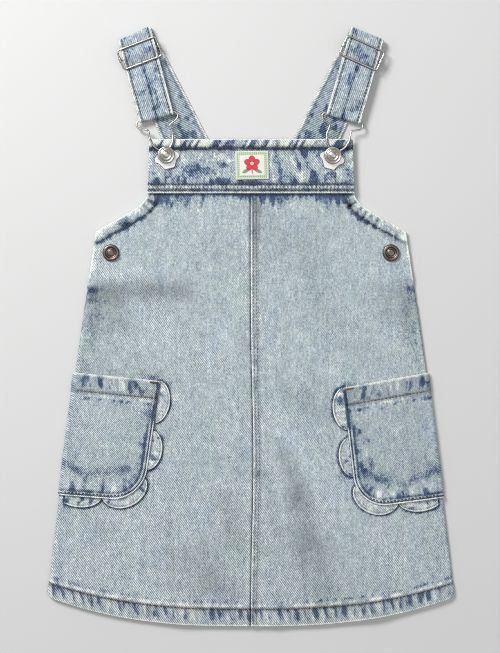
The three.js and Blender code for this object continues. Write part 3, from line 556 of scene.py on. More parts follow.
def stitch_row(line, normal, pitch, length, thread, sink):
    """Short arched threads along a line: five rings of six points each, lowest and thinnest at the ends."""
    at = lengths(line)
    count = max(int(at[-1] / pitch), 1)
    centres = (np.arange(count) + 0.5) * at[-1] / count
    reach = np.array([-0.5, -0.32, 0, 0.32, 0.5]) * length
    arch = np.array([-0.9, 0.15, 0.55, 0.15, -0.9]) * thread
    thick = np.array([0.35, 0.9, 1, 0.9, 0.35]) * thread
    wanted = np.clip(centres[:, None] + reach, 0, at[-1])
    place = np.stack([np.interp(wanted, at, line[:, k]) for k in range(3)], -1)
    up = np.stack([np.interp(wanted, at, normal[:, k]) for k in range(3)], -1)
    up /= np.linalg.norm(up, axis=-1, keepdims=True)
    along = place[:, -1:] - place[:, :1]
    along = along / np.maximum(np.linalg.norm(along, axis=-1, keepdims=True), 1e-6)
    aside = np.cross(along, up)
    middle = place + up * (arch - sink)[:, None]
    turn = np.arange(6) * 2 * np.pi / 6
    ring = up[:, :, None] * np.cos(turn)[:, None] + aside[:, :, None] * np.sin(turn)[:, None]
    points = middle[:, :, None] + ring * thick[:, None, None]
    stitch = np.arange(count)[:, None, None] * 30
    sides = stitch + ring_faces(5, 6, False)
    caps = stitch + np.array([[[0, 5, 4, 3], [0, 3, 2, 1], [24, 25, 26, 27], [24, 27, 28, 29]]])
    return points.reshape(-1, 3), np.concatenate([sides.reshape(-1, 4), caps.reshape(-1, 4)])


# ---- Lay of each cloth ------------------------------------------------------------------------------------
# Each lay function takes positions on its cloth and gives its middle surface, its normal, the relief on its
# outer face, its wear (above 0 rubbed pale, below 0 still blue), its shade, its UV place and its nearest
# seam. The shade is painted shade and painted light: below 0 it darkens the colour, mostly as painted shade
# in grooves, creases and folds and under overlapping edges, and above 0 it lightens the ridges of folds.
# A seam is the distance along it, the distance from it, both in centimetres, and the strength of the
# smudges beside it. Each marks function gives what one part of a front adds to these.

def seam_marks(along, away, strength):
    """A seam's three numbers at each point."""
    return np.stack([along * 0.1, away * 0.1, strength], -1)


def laid(middle, normal, relief, wear, shade, u, v, seam):
    """A cloth's lay under the names that cloth_piece reads, each part spread over all the points."""
    points = middle.shape[:-1]
    relief, wear, shade, u, v = (np.broadcast_to(part, points) for part in (relief, wear, shade, u, v))
    return {"middle": middle, "normal": np.broadcast_to(normal, middle.shape), "relief": relief, "wear": wear,
            "shade": shade, "uv": np.stack([u, v], -1), "seam": seam}


def groove(away, half=0.7):
    """Dip of the cloth under a row of stitches."""
    return hump(away, 0, half)


def ripples(along, away, seed, pitch, reach):
    """Puckers drawn in by stitches: ridges across the seam, uneven in spacing, that die out away from it."""
    return cloudy(along / pitch, away / (pitch * 2.5) + 9, seed) * np.exp(-np.abs(away) / reach)


def pinches(along, places, line):
    """1 in the middle of each pucker, at the points of a line that lie at the given distances across."""
    order = np.argsort(line[:, 0])
    at = np.interp(places, line[order, 0], lengths(line)[order])
    return hump(along[..., None] - at, 0, 0.85).max(axis=-1)


def centre_marks(x, y, sign):
    """Wear, relief and shade of the lapped centre seam, x being measured across the garment."""
    out = x - seam_drift(y)
    fade = fall(y, BIB_BOTTOM - 4, BIB_BOTTOM - 1)
    first, second = CENTRE_ROWS
    wide = 6.6 + 1.6 * smooth(y, 60, 95)
    if sign > 0:
        inside = fall(out, wide - 0.6, wide + 0.4)
        wear = 1.3 * hump(out, 0.8, 0.6) + 0.3 * hump(out, wide + 0.7, 0.7) - 0.2 * inside
        upper = 0.45 + 0.55 * smooth(y, 20, 75)
        shade = -0.15 * inside * smooth(out, 1.2, 1.7) * upper
        shade -= 0.24 * upper * (groove(out - first, 0.6) + 0.7 * groove(out - second, 0.6))
        shade -= 0.12 * inside * smooth(y, 55, 85) * smooth(out, 1.4, 2.0)
        rise = 0.75 * fall(out, wide - 0.4, wide + 0.6)
        rise -= 0.2 * (groove(out - first) + groove(out - second))
    else:
        wear = 0.2 * hump(out, -3.2, 1.4)
        # Painted shadow of the lapped edge on the cloth beside it.
        shade = -0.72 * hump(out, 0.1, 1.1)
        rise = -0.35 * hump(out, -0.2, 1.0)
    bumps = ripples(y, np.maximum(np.abs(out - 3), 0), 31 + sign, 4.2, 6.0)
    return (wear + 0.3 * bumps) * fade, (rise + 0.16 * bumps) * fade, shade * fade


def hem_marks(x, above, sign):
    """Wear, relief, shade and smudges of the hem, by the height above its edge.

    Blue bars hang from the stitches in a band with a pale edge, under a pale toothed line and blue dots.
    """
    band = fall(above, HEM_DEPTH + 0.8, HEM_DEPTH + 1.8)
    puckers = ripples(x, above - HEM_DEPTH, 41 + sign, 4.6, 7.0)
    teeth = 0.55 + 0.6 * cloudy(x / 2.3, above / 20, 44 + sign)
    dots = smooth(cloudy(x / 2.9, above / 14, 43 + sign), -0.2, 0.6)
    wear = 1.1 * fall(above, 0.8, 1.8) + 0.25 * fall(above, 3, 10) + 0.35 * puckers
    wear += 1.1 * hump(above, HEM_DEPTH + 2.6, 1.5) * teeth - 0.9 * hump(above, HEM_DEPTH + 5.2, 1.6) * dots
    relief = 0.6 * band + 0.3 * puckers - 0.3 * groove(above - HEM_DEPTH)
    # Painted shade in the groove under the stitch row; the hem band is a little darker as well.
    shade = -0.12 * band - 0.50 * groove(above - HEM_DEPTH, 1.5)
    return wear, relief, shade, smooth(above, 1.5, 6) * fall(above, HEM_DEPTH - 0.2, HEM_DEPTH + 0.8)


def armhole_marks(side, edge, along):
    """Wear, relief, shade and smudges of the armhole's pale puckered hem, by the distance from its edge."""
    sign = SIDES[side]
    band = fall(edge, ARMHOLE_DEPTH - 1, ARMHOLE_DEPTH + 0.5)
    puckers = ripples(along, edge - ARMHOLE_DEPTH, 51 + sign, 3.8, 5.0)
    crimps = smooth(cloudy(along / 3.0, edge / 16, 53 + sign), 0.1, 0.45)
    teeth = smooth(cloudy(along / 3.0, edge / 9, 55 + sign), -0.4, 0.3)
    pinched = pinches(along, ARM_PINCHES[side], armhole_line()) * smooth(edge, 0.5, 2.2)
    pinched *= fall(edge, ARMHOLE_DEPTH, ARMHOLE_DEPTH + 3.5)
    sewn = groove(edge - ARMHOLE_DEPTH + 0.35 * cloudy(along / 6, 0 * along, 57 + sign), 1.5)
    wear = 0.45 * fall(edge, 0.5, 1.4) + 0.42 * band + 0.45 * puckers - 1.3 * pinched - 0.9 * sewn
    wear -= 0.5 * hump(edge, ARMHOLE_DEPTH + 2.0, 2.2) * teeth
    wear -= 0.5 * hump(edge, ARMHOLE_DEPTH - 1.5, 3.0) * crimps
    relief = 0.5 * fall(edge, ARMHOLE_DEPTH + 0.6, ARMHOLE_DEPTH + 1.6) + 0.3 * puckers
    relief -= 0.28 * groove(edge - ARMHOLE_DEPTH)
    # Painted shade in the crimps, in the deep puckers and in the groove under the stitch row.
    shade = -0.30 * crimps * hump(edge, ARMHOLE_DEPTH - 2.2, 3.6) - 0.38 * sewn - 0.5 * pinched
    return wear, relief, shade, 0.5 * hump(edge, ARMHOLE_DEPTH + 1.6, 2.6)


def below_bib_marks(x, y):
    """Wear, relief and shade below the bib: blue with short pale teeth, and a painted shadow under its edge.
    """
    below = BIB_BOTTOM - y
    reach = np.interp(x, *np.transpose(BLUE_BELOW)) * (1.35 + 0.55 * cloudy(x / 1.7, y / 40, 62))
    blue = fall(below - reach, -8.0, 3.0) * fall(y, BIB_BOTTOM, BIB_BOTTOM + 1)
    teeth = smooth(cloudy(x / 2.6, y / 30, 64), 0.0, 0.5) * (below < 16)
    wear = 0.6 * hump(below - reach, 2.6, 1.8) * teeth - 0.5 * hump(below, 0, 3.0)
    wear -= blue * (0.95 + 0.5 * cloudy(x / 2.2, y / 12, 63))
    relief = 0.35 * cloudy(x / 4.5, y / 30, 61) * hump(below, 5, 6) * smooth(below, 1.5, 3)
    # Painted shadow: a thin dark line just under the bib's edge.
    return wear, relief, -0.25 * hump(below, 0, 1.0)


def side_marks(sign, side_gap, y, side_y):
    """Wear, relief and shade of the side seam and of the end of the opening above it."""
    roll = fall(side_y, OPENING_END, OPENING_START)
    tug = hump(side_gap, 0, 20) * hump(y, 33, 16) * cloudy(y / 4.2, side_gap / 24, 71 + sign)
    wear = roll * (0.35 * hump(side_gap, 3.2, 1.3) - 0.5 * smooth(-side_gap, -1.6, -0.2))
    wear -= 0.42 * hump(side_gap, 4, 11) * roll * (0.35 + 0.65 * smooth(y, -60, -10))
    wear += (1 - roll) * (0.9 * fall(side_gap, 0.8, 2.0) + 0.35 * fall(side_gap, 4, 7)) + 0.55 * tug
    wear -= 0.9 * hump(y, 30.5, 2.2) * hump(side_gap, 4, 4.5) + 0.5 * hump(y, 44, 3) * hump(side_gap, 6, 9)
    return wear, 0.45 * tug, -0.3 * hump(y, 32.5, 0.9) * hump(side_gap, 4, 5)


def pocket_shadow(side, s, x, y):
    """Wear, relief and shade beside a pocket: the scallops' painted shadow, navy on cloth that stayed blue.
    """
    gap, along = seam_space(np.abs(x), y, scallop_outline(side))
    wear = -0.95 * fall(gap, 0.9, 2.6) - 0.32 * hump(gap, 0, 7) * (0.7 + cloudy(along / 9, 0 * y, 75))
    wear -= 0.8 * hump(y, POCKETS[side][1] + 2.5, 3) * hump(s, 82, 9)
    return wear, 0 * gap, -0.24 * fall(gap, 0.6, 2.2)


def front_lay(side, s, side_y):
    """A front panel at distances s from the centre line, on rows that end at the heights side_y."""
    sign = SIDES[side]
    s, side_y, end = np.broadcast_arrays(s, side_y, across(side_y)[2])
    y = side_y - sag(s / end) * np.clip((STRAIGHT_Y - side_y) / (STRAIGHT_Y - HEM_CORNER_Y), 0, 1)
    x = s * sign + seam_drift(y) * fall(s, 8, 45)
    middle, normal = front_point(x, y, 0.0, side_y)
    above = side_y - HEM_CORNER_Y
    edge, along = seam_space(np.abs(x), y, armhole_line())
    edge = np.where(y > ARMHOLE_Y - 24, edge, 99.0)
    *hem, hem_smudge = hem_marks(x, above, sign)
    *armhole, arm_smudge = armhole_marks(side, edge, along)
    centre = [mark * (s < 30) for mark in centre_marks(x, y, sign)]
    places = (hem, armhole, centre, below_bib_marks(x, y), side_marks(sign, end - s, y, side_y),
              pocket_shadow(side, s, x, y))
    wear, relief, shade = (sum(marks) for marks in zip(*places))
    wear += 0.12 * torn(x / 22, y / 30, 81) + 0.10 * torn(x / 8, y / 11, 84)
    # Painted broad light and shade of the folds, and a faint darker and paler mottle.
    shade += painted_light_and_shade(x, y) + 0.02 * torn(x / 17, y / 30, 91)
    relief += 0.10 * torn(x / 9, y / 12, 87)
    relief *= 0.1 + 0.9 * smooth(BIB_BOTTOM - y, 1.5, 3)
    seam = np.where((arm_smudge > hem_smudge)[..., None], seam_marks(along, edge, arm_smudge),
                    seam_marks(x, above, hem_smudge))
    return laid(middle, normal, relief, wear, shade, x, y, seam)


def front_grid(side):
    """A front panel on rows and columns that stand closer where it is stitched, rolled or cut."""
    rows = spaced((0, 0.16), (0.64, 0.95), (19, 1.7), (ARMHOLE_Y - HEM_CORNER_Y, 1.0),
                  (BIB_BOTTOM + UNDERLAP - HEM_CORNER_Y, 1)) + HEM_CORNER_Y
    near = spaced((0.15, 0.15), (0.6, 0.7), (11, 1))
    edge = np.array([10, 8.7, 7.4, 6.2, 5.1, 4.2, 3.4, 2.77, 2.3, 1.9, 1.5, 1.1, 0.65, 0.35, 0.15, 0])
    _, _, end = across(rows)
    slope = np.where(rows > ARMHOLE_Y, np.hypot(1, (half_width(rows + 0.5) - half_width(rows - 0.5))), 1)
    last = end[:, None] - edge * np.minimum(slope, 4)[:, None]
    share = np.linspace(0, 1, 140)[1:-1]
    middle = near[-1] + (last[:, :1] - near[-1]) * share
    s = np.concatenate([np.broadcast_to(near, (len(rows), len(near))), middle, last], 1)
    return front_lay(side, s, rows[:, None])


def back_lay(side, s, side_y):
    """A back panel, flat on the floor with its outer face down, inside the rolled sides of the front."""
    sign = SIDES[side]
    y = side_y - sag(s / HEM_CORNER_X) * np.clip((STRAIGHT_Y - side_y) / (STRAIGHT_Y - HEM_CORNER_Y), 0, 1)
    x = s * sign
    middle = np.stack([x, y, np.full(x.shape, DENIM / 2)], -1)
    above = side_y - HEM_CORNER_Y
    hem_ripple = ripples(x, above - HEM_DEPTH, 141 + sign, 5.2, 8.0)
    wear = 1.0 * fall(above, 0.6, 1.5) + 0.4 * hump(above, HEM_DEPTH + 2.3, 1.5) + 0.5 * hem_ripple
    wear -= 0.9 * groove(above - HEM_DEPTH, 0.5)
    wear += 0.8 * hump(s, 2.0, 0.8) - 0.7 * hump(s, 0, 1.0)
    wear += 0.20 * torn(x / 22, y / 30, 181) + 0.14 * torn(x / 8, y / 11, 184)
    dip = np.maximum(groove(above - HEM_DEPTH), 0.7 * smooth(-hem_ripple, 0.1, 0.6))
    for row in BACK_ROWS:
        wear -= 0.5 * groove(s - row, 0.5)
        dip = np.maximum(dip, groove(s - row))
    seam = seam_marks(x, above, 0.8 * smooth(above, 1.5, 5) * fall(above, 11, 13))
    return laid(middle, DOWNWARD, -0.3 * dip, wear, 0.0, x, y, seam)


def back_grid(side):
    """A back panel on rows and columns that stand closer where it is stitched or cut."""
    start = HEM_CORNER_Y + 0.8
    rows = np.concatenate([spaced((start, 0.2), (start + 0.6, 1.0), (start + 19, 2.6), (ARMHOLE_Y, 1.6),
                                  (ARMHOLE_TOP_Y, 1)),
                           spaced((ARMHOLE_TOP_Y + 2, 2), (BACK_TOP - 0.7, 0.3), (BACK_TOP, 1))])
    open_share = smooth(rows, OPENING_START, OPENING_START + 12)
    corner_share = fall(rows, HEM_CORNER_Y, HEM_CORNER_Y + 3 * HEM_CORNER_RADIUS)
    inset = (DENIM + GAP) * (1 - open_share) + 0.35 * open_share + 2.5 * corner_share
    end = half_width(rows) - inset
    narrow = smooth(rows, ARMHOLE_TOP_Y, BACK_TOP)
    end = end * (1 - narrow) + BACK_TOP_HALF * narrow
    near = spaced((0.15, 0.2), (0.75, 0.9), (9, 1))
    edge = np.array([6, 4.5, 3, 1.8, 0.9, 0.5, 0.2, 0])
    share = np.linspace(0, 1, 62)[1:-1]
    middle = near[-1] + (end[:, None] - edge[0] - near[-1]) * share
    s = np.concatenate([np.broadcast_to(near, (len(rows), len(near))), middle, end[:, None] - edge], 1)
    return back_lay(side, s, np.broadcast_to(rows[:, None], s.shape))


def bib_lay(across_share, y):
    """The bib from its left side at -1 to its right side at 1, over the tops of both fronts."""
    half = BIB_BOTTOM_HALF + (BIB_TOP_HALF - BIB_BOTTOM_HALF) * (y - BIB_BOTTOM) / (BIB_TOP - BIB_BOTTOM)
    x = across_share * half
    low, high, side_gap = y - BIB_BOTTOM, BIB_TOP - y, half - np.abs(x)
    seam_ripple = ripples(x, low - 4, 201, 4.0, 9.0)
    top_ripple = ripples(x + high * 0.5, high - 7.2, 205, 4.0, 6.0)
    relief = 0.35 * fall(low, 7.4, 9.0) + 0.35 * fall(high, 7.6, 9.0)
    relief += 0.25 * seam_ripple + 0.25 * top_ripple
    rows = groove(low - 2.6) + groove(low - 7.7) + groove(high - 7.2) + groove(x - BIB_SIDE_ROW * half)
    relief -= 0.22 * rows
    middle_part = smooth(low, 8, 10) * smooth(high, 8, 10)

    wear = 0.14 - 1.05 * blots(x, y, BIB_BLUE, 211, 0.6) + 0.6 * blots(x, y, BIB_PALE, 215, 0.6)
    wear += 0.25 * torn(x / 14, y / 12, 214) + 0.30 * torn((x - y * 0.3) / 2.1, y / 3.0, 219) * middle_part
    streaky = smooth(x, 5, 25)
    wear += (0.35 + 0.3 * streaky) * torn((x + y * 0.4) / 4.2, y / (9 + 6 * streaky), 217) * middle_part
    wear += 1.1 * fall(low, 0.6, 1.5) + 1.0 * fall(high, 0.6, 1.4)
    dashes = smooth(np.sin(x * 2 * np.pi / 3.2 + cloudy(x / 9, 0 * x, 203)), -0.5, 0.2)
    wear += 1.9 * hump(low, 5.1, 1.0) * dashes - 0.55 * hump(low, 5, 3.6)
    slant = cloudy((x + high * 0.55) / 2.5, high / 22, 206)
    band = smooth(high, 0.5, 1.4) * fall(high, 7.0, 8.2)
    wear += band * (0.15 + 0.8 * smooth(slant, 0.05, 0.6) - 1.2 * smooth(-slant, -0.05, 0.6))
    wear -= 1.0 * hump(high, 8.6, 1.3) + 0.35 * hump(low, 9.6, 1.5)
    wear += 0.4 * fall(side_gap, 1.5, 5) + 0.25 * seam_ripple
    rows = groove(low - 2.7, 1.35) + groove(low - 7.6, 1.35)
    top_row = groove(high - 7.5 + 0.4 * cloudy(x / 6, 0 * x, 208), 2.0)
    # Painted shade in the grooves of the stitch rows and down the side row; the bands between them are darker
    # as well.
    shade = -0.40 * rows - 0.46 * top_row - 0.08 * band
    shade -= 0.18 * hump(low, 5.1, 4.0) + 0.18 * hump(high, 9.4, 3.0)
    wear -= 0.5 * rows + 0.6 * top_row
    shade -= 0.3 * groove(x - BIB_SIDE_ROW * half, 1.0) * middle_part
    shade -= 0.12 * hump(high, 12, 3) * smooth(-slant, 0.1, 0.5)
    bend = 0.25 + 0.25 * cloudy(x / 24 + 5, y / 30, 221)
    middle = np.stack([x, y, np.full(x.shape, BIB_MID)], -1)
    seam = seam_marks(x, low, 0.5 * hump(low, 11, 3.0))
    return laid(middle, UPRIGHT, relief + bend, wear, shade, x, y, seam)


def bib_grid():
    """The bib on rows and columns that stand closer along its edges and seams."""
    y = spaced((BIB_BOTTOM, 0.16), (BIB_BOTTOM + 0.64, 0.8), (BIB_BOTTOM + 16, 1.4), (BIB_TOP - 12, 0.8),
               (BIB_TOP - 0.64, 0.16), (BIB_TOP, 1))
    edge = np.array([0, 0.15, 0.35, 0.65, 1.4, 2.4, 3.6, 4.8, 6.0, 7.2, 8.4]) / 86
    u = np.concatenate([-1 + edge, np.linspace(-0.885, 0.885, 220), (1 - edge)[::-1]])
    return bib_lay(*np.broadcast_arrays(u, y[:, None]))


def pocket_lay(side, s, down):
    """A pocket at distances s from the centre line and shares of the way down, lying over its scallops."""
    sign = SIDES[side]
    height = pocket_height(side)
    s, down = np.broadcast_arrays(s, down)
    inner = pocket_inner(side, down)
    flat, _, _ = across(pocket_y(side, half_width(POCKET_LEVEL), down))
    y = pocket_y(side, s, down)
    x = s * sign
    edge, along = seam_space(s, y, pocket_edge(side, -4))
    from_side = flat - s
    tucked = fall(np.minimum(s - inner, (1 - down) * height), 5, 17) * smooth(from_side, 0, 3)
    full = np.sin(np.pi * down) * smooth(from_side, 4, 24) * smooth(edge, 6, 24)
    lift = POCKET_ON_CLOTH + (POCKET_ON_SCALLOPS - POCKET_ON_CLOTH) * tucked + 1.2 * full
    middle, normal = front_point(x, y, lift)
    below = down * height
    hem_ripple = ripples(s, below - POCKET_SEWN, 241 + sign, 3.8, 7.0)
    edge_ripple = ripples(along, edge, 245 + sign, 3.6, 9.0)
    hem_band = fall(below, POCKET_SEWN - 0.6, POCKET_SEWN + 0.4)
    piped = smooth(along, 30, 38)

    wear = 0.4 * blots(x, y, POCKET_PALE[side], 261 + sign)
    wear -= (0.6 + 0.35 * hem_band) * blots(x, y, POCKET_BLUE[side], 251 + sign, 0.9)
    from_arch = y - np.interp(x, *np.transpose(POCKET_ARCH[side])) + 1.5 * cloudy(x / 9, y / 30, 252 + sign)
    broken = 0.8 + 0.3 * cloudy(x / 8, y / 8, 253 + sign)
    wear -= 0.85 * hump(from_arch, 0, 3.8) * broken * smooth(edge, 4, 8)
    wear += 1.2 * fall(below, 1.0, 2.0) * smooth(edge, 0.5, 1.5) + 0.08 * hem_band + 0.3 * hem_ripple
    wear += 0.9 * hump(below, POCKET_SEWN + 2.6, 1.3) * (0.5 + 0.6 * cloudy(s / 2.2, below / 9, 243 + sign))
    dots = smooth(cloudy(s / 2.7, below / 9, 244 + sign), -0.2, 0.5)
    wear -= 0.85 * hump(below, POCKET_SEWN + 5.2, 1.6) * dots
    wear += piped * (1.5 * hump(edge, 0.6, 0.6) + 1.2 * hump(edge, 2.9, 0.6) - 0.85 * hump(edge, 4.7, 1.1))
    wear -= 1.6 * hump(edge, 1.7, 0.55) * piped
    wear -= 1.5 * (1 - piped) * fall(edge, 1.6, 3.4) * smooth(below, 1, 3)
    wear -= 0.28 * hump(edge, 6.5, 5) * (0.8 + 0.5 * cloudy(along / 7, edge / 9, 247 + sign))
    wear += 0.5 * hump(edge, 8.5, 5) * smooth(down, 0.8, 0.95)
    wear += 0.4 * edge_ripple + 0.18 * torn(s / 20, y / 24, 254) + 0.10 * torn(s / 7, y / 10, 257)
    # Painted shade in the groove under the mouth's stitches and in the grooves along the edge; the mouth band
    # is darker as well.
    shade = -0.13 * hem_band - 0.42 * groove(below - POCKET_SEWN, 1.2)
    shade -= 0.34 * hump(edge, 1.7, 0.6) + 0.15 * hump(edge, 4.6, 1.6)
    relief = 0.5 * fall(below, POCKET_SEWN + 1.2, POCKET_SEWN + 2.2) - 0.25 * groove(below - POCKET_SEWN)
    relief += 0.3 * edge_ripple + 0.2 * hem_ripple - 0.35 * hump(edge, 1.9, 0.7) - 0.3 * hump(edge, 4.8, 1.0)
    relief += 0.25 * torn(x / 7, y / 10, 258) * hump(edge, 16, 9)
    near_edge = (0.22 + 0.4 * smooth(down, 0.78, 0.95)) * hump(edge, 8, 4) * piped
    smudge = np.maximum(0.62 * hump(below, 8, 6) * smooth(edge, 2, 5), near_edge)
    use_edge = (near_edge >= smudge)[..., None]
    seam = np.where(use_edge, seam_marks(along, edge, smudge), seam_marks(s, below, smudge))
    return laid(middle, normal, relief, wear, shade, x, y, seam)


def pocket_grid(side):
    """A pocket on rows and columns that stand closer at its mouth, its stitched edge and the side seam."""
    height = pocket_height(side)
    straight = spaced((0, 0.16), (0.64, 0.9), (20, 1.5), (height - POCKET_RADIUS - 1.5, 1)) / height
    turn = np.radians([0, 3.4, 7, 10.5, 14, 17.5, 21, 24.5, 28, 31.5, 35, 38.5, 42, 45.5, 49, 52, 55, 58, 61,
                       63.5, 66, 68.5, 71, 73.5, 76, 79, 82, 86, 90])
    down = np.concatenate([straight, 1 - POCKET_RADIUS * (1 - np.sin(turn)) / height])
    side_y = pocket_y(side, half_width(POCKET_LEVEL), down)
    flat, arc, end = across(side_y)
    inner = pocket_inner(side, down)
    near = np.array([0, 0.15, 0.35, 0.65, 0.95, 1.3, 1.7, 2.1, 2.6, 3.1, 3.6, 4.2, 4.8, 5.4, 6])
    edge = np.array([6, 4.6, 3.4, 2.4, 1.5, 0.7, 0])
    share = np.linspace(0, 1, 84)[1:-1]
    middle = (inner + near[-1])[:, None] + (flat - edge[0] - inner - near[-1])[:, None] * share
    rolled = flat[:, None] + arc[:, None] * np.array([0.2, 0.4, 0.6, 0.8, 1])
    s = np.concatenate([inner[:, None] + near, middle, flat[:, None] - edge, rolled,
                        end[:, None] - [0.3, 0.12, 0]], 1)
    return pocket_lay(side, s, down[:, None])


def scallop_place(side, at, offset):
    """The point at a distance along the pocket's edge and an offset out of it, for the right half."""
    line = resampled(pocket_edge(side, 3.4), 0.7)
    length = lengths(line)
    tangent = np.gradient(line, axis=0)
    tangent /= np.linalg.norm(tangent, axis=1)[:, None]
    for _ in range(6):
        tangent[1:-1] = (tangent[:-2] + 2 * tangent[1:-1] + tangent[2:]) / 4
    tangent /= np.linalg.norm(tangent, axis=1)[:, None]
    at = np.minimum(at, length[-1])
    place = np.stack([np.interp(at, length, line[:, k]) for k in (0, 1)], -1)
    along = np.stack([np.interp(at, length, tangent[:, k]) for k in (0, 1)], -1)
    return place[..., 0] + along[..., 1] * offset, place[..., 1] - along[..., 0] * offset


def scallop_outline(side):
    """The outer edge of the whole strip of scallops as a line of points."""
    turns = 0.5 - 0.5 * np.cos(np.linspace(0, np.pi, 22))
    at = np.concatenate([start + length * turns for start, length, _ in SCALLOPS])
    return np.stack(scallop_place(side, at, scallop_reach(at)), -1)


def scallop_lay(side, at, offset):
    """The scalloped strip at distances along the pocket's edge and offsets out of it."""
    sign = SIDES[side]
    x, y = scallop_place(side, at, offset)
    middle, normal = front_point(x * sign, y, SCALLOP_LIFT)
    inside = scallop_reach(at) - offset
    crimp = ripples(at, offset, 271 + sign, 2.6, 14.0)
    wear = 0.35 + 0.6 * crimp + 0.75 * fall(inside, 0.9, 1.3)
    wear -= 1.4 * smooth(cloudy(at / 3.6, offset / 6, 274 + sign), 0.42, 0.7) * hump(offset, 3.5, 4)
    # Painted shade in the groove inside the rim, where the strip tucks under the pocket, and along the rim.
    shade = -0.44 * hump(inside, 1.9, 0.6)
    shade -= 0.5 * fall(offset, -0.6, 1.0) + 0.3 * fall(inside, 0.1, 0.5)
    relief = 0.25 * crimp - 0.2 * hump(inside, 1.9, 0.7) + 0.2 * hump(inside, 0.9, 0.6)
    seam = seam_marks(at, offset, 0.25 * hump(offset, 2, 4))
    return laid(middle, normal, relief, wear, shade, x * sign, y, seam)


def scallop_grid(side):
    """The scalloped strip on columns that stand closer in the notches between its scallops."""
    turns = 0.5 - 0.5 * np.cos(np.linspace(0, np.pi, 40))
    at = np.concatenate([start + length * turns for start, length, _ in SCALLOPS])
    reach = scallop_reach(at)
    share = np.concatenate([[0, 0.02, 0.06], np.linspace(0.14, 0.94, 19), [0.965, 0.98, 0.99, 1]])
    offset = -SCALLOP_TUCK + (reach[:, None] + SCALLOP_TUCK) * share
    return scallop_lay(side, np.broadcast_to(at[:, None], offset.shape), offset)


# ---- Straps -----------------------------------------------------------------------------------------------

def strap_line(side):
    """Length and lean of the line from the middle of the shoulder fold to the strap's button."""
    button_x, button_y, _, _ = STRAPS[side]
    across_x, down_y = FOLD_X - button_x, FOLD_Y - button_y
    return math.hypot(across_x, down_y), math.atan2(across_x, down_y)


def bar_arc(centre, height, radius, start, end, count):
    """Points round part of a circle, between two angles in degrees."""
    turn = np.radians(np.linspace(start, end, count))
    return np.stack([centre + radius * np.cos(turn), height + radius * np.sin(turn)], 1)


def strap_route(side):
    """The strap's middle as (down from the fold, height) points, and whether each is on the back layer."""
    low = STRAP_CLOTH / 2
    fold = (STRAP_FRONT - low) / 2
    loop_at = strap_line(side)[0] - CLIP_LENGTH

    def straight(start, end, step=1.6):
        count = max(int(abs(end[0] - start[0]) / step), 2)
        return np.linspace(start, end, count)

    leave = np.linspace(LEAVE_BACK, REACH_FLOOR, 7)
    lowered = RETURN_MID + (low - RETURN_MID) * smooth(-leave, -LEAVE_BACK, -REACH_FLOOR)
    behind = np.concatenate([
        np.stack([BACK_LENGTH - np.array([0, 0.15, 0.35, 0.65]), np.full(4, RETURN_MID)], 1),
        straight((BACK_LENGTH - 2, RETURN_MID), (LEAVE_BACK + 0.6, RETURN_MID)),
        np.stack([leave, lowered], 1),
        straight((REACH_FLOOR - 1.6, low), (4.0, low)), bar_arc(fold, low + fold, fold, 270, 180, 9)])
    along = np.linspace(-14, 14, 29)
    near = fall(np.abs(along), 0, SLIDER_HALF_HEIGHT)
    outside = smooth(np.abs(along), SLIDER_HALF_HEIGHT, 14)
    height = (UNDER_BAR + (OVER_BAR - UNDER_BAR) * near) * (1 - outside) + STRAP_FRONT * outside
    hump_down = np.linspace(SLIDER_DOWN + 15, loop_at - 1.2, 24)
    swell = 0.2 * np.sin(np.pi * (hump_down - SLIDER_DOWN - 15) / (loop_at - SLIDER_DOWN - 16)) ** 2
    front = np.concatenate([
        bar_arc(fold, low + fold, fold, 172, 108, 8), np.stack([SLIDER_DOWN + along, height], 1)[1:],
        np.stack([hump_down, STRAP_FRONT + swell], 1), bar_arc(loop_at, BAR_HEIGHT, WRAP, 90, -90, 15),
        straight((loop_at - 1.5, RETURN_MID), (SLIDER_DOWN + 1.5, RETURN_MID), 2.2),
        bar_arc(SLIDER_DOWN, BAR_HEIGHT, WRAP, 270, 104, 15),
        bar_arc(SLIDER_DOWN, BAR_HEIGHT, WRAP, 100, 96, 3)])
    return np.concatenate([behind, front]), np.arange(len(behind) + len(front)) < len(behind)


def strap_half(down, back):
    """Half of the strap's width, which grows down its back layer."""
    return STRAP_HALF + (STRAP_BACK_HALF - STRAP_HALF) * np.where(back, np.clip(down / BACK_LENGTH, 0, 1), 0)


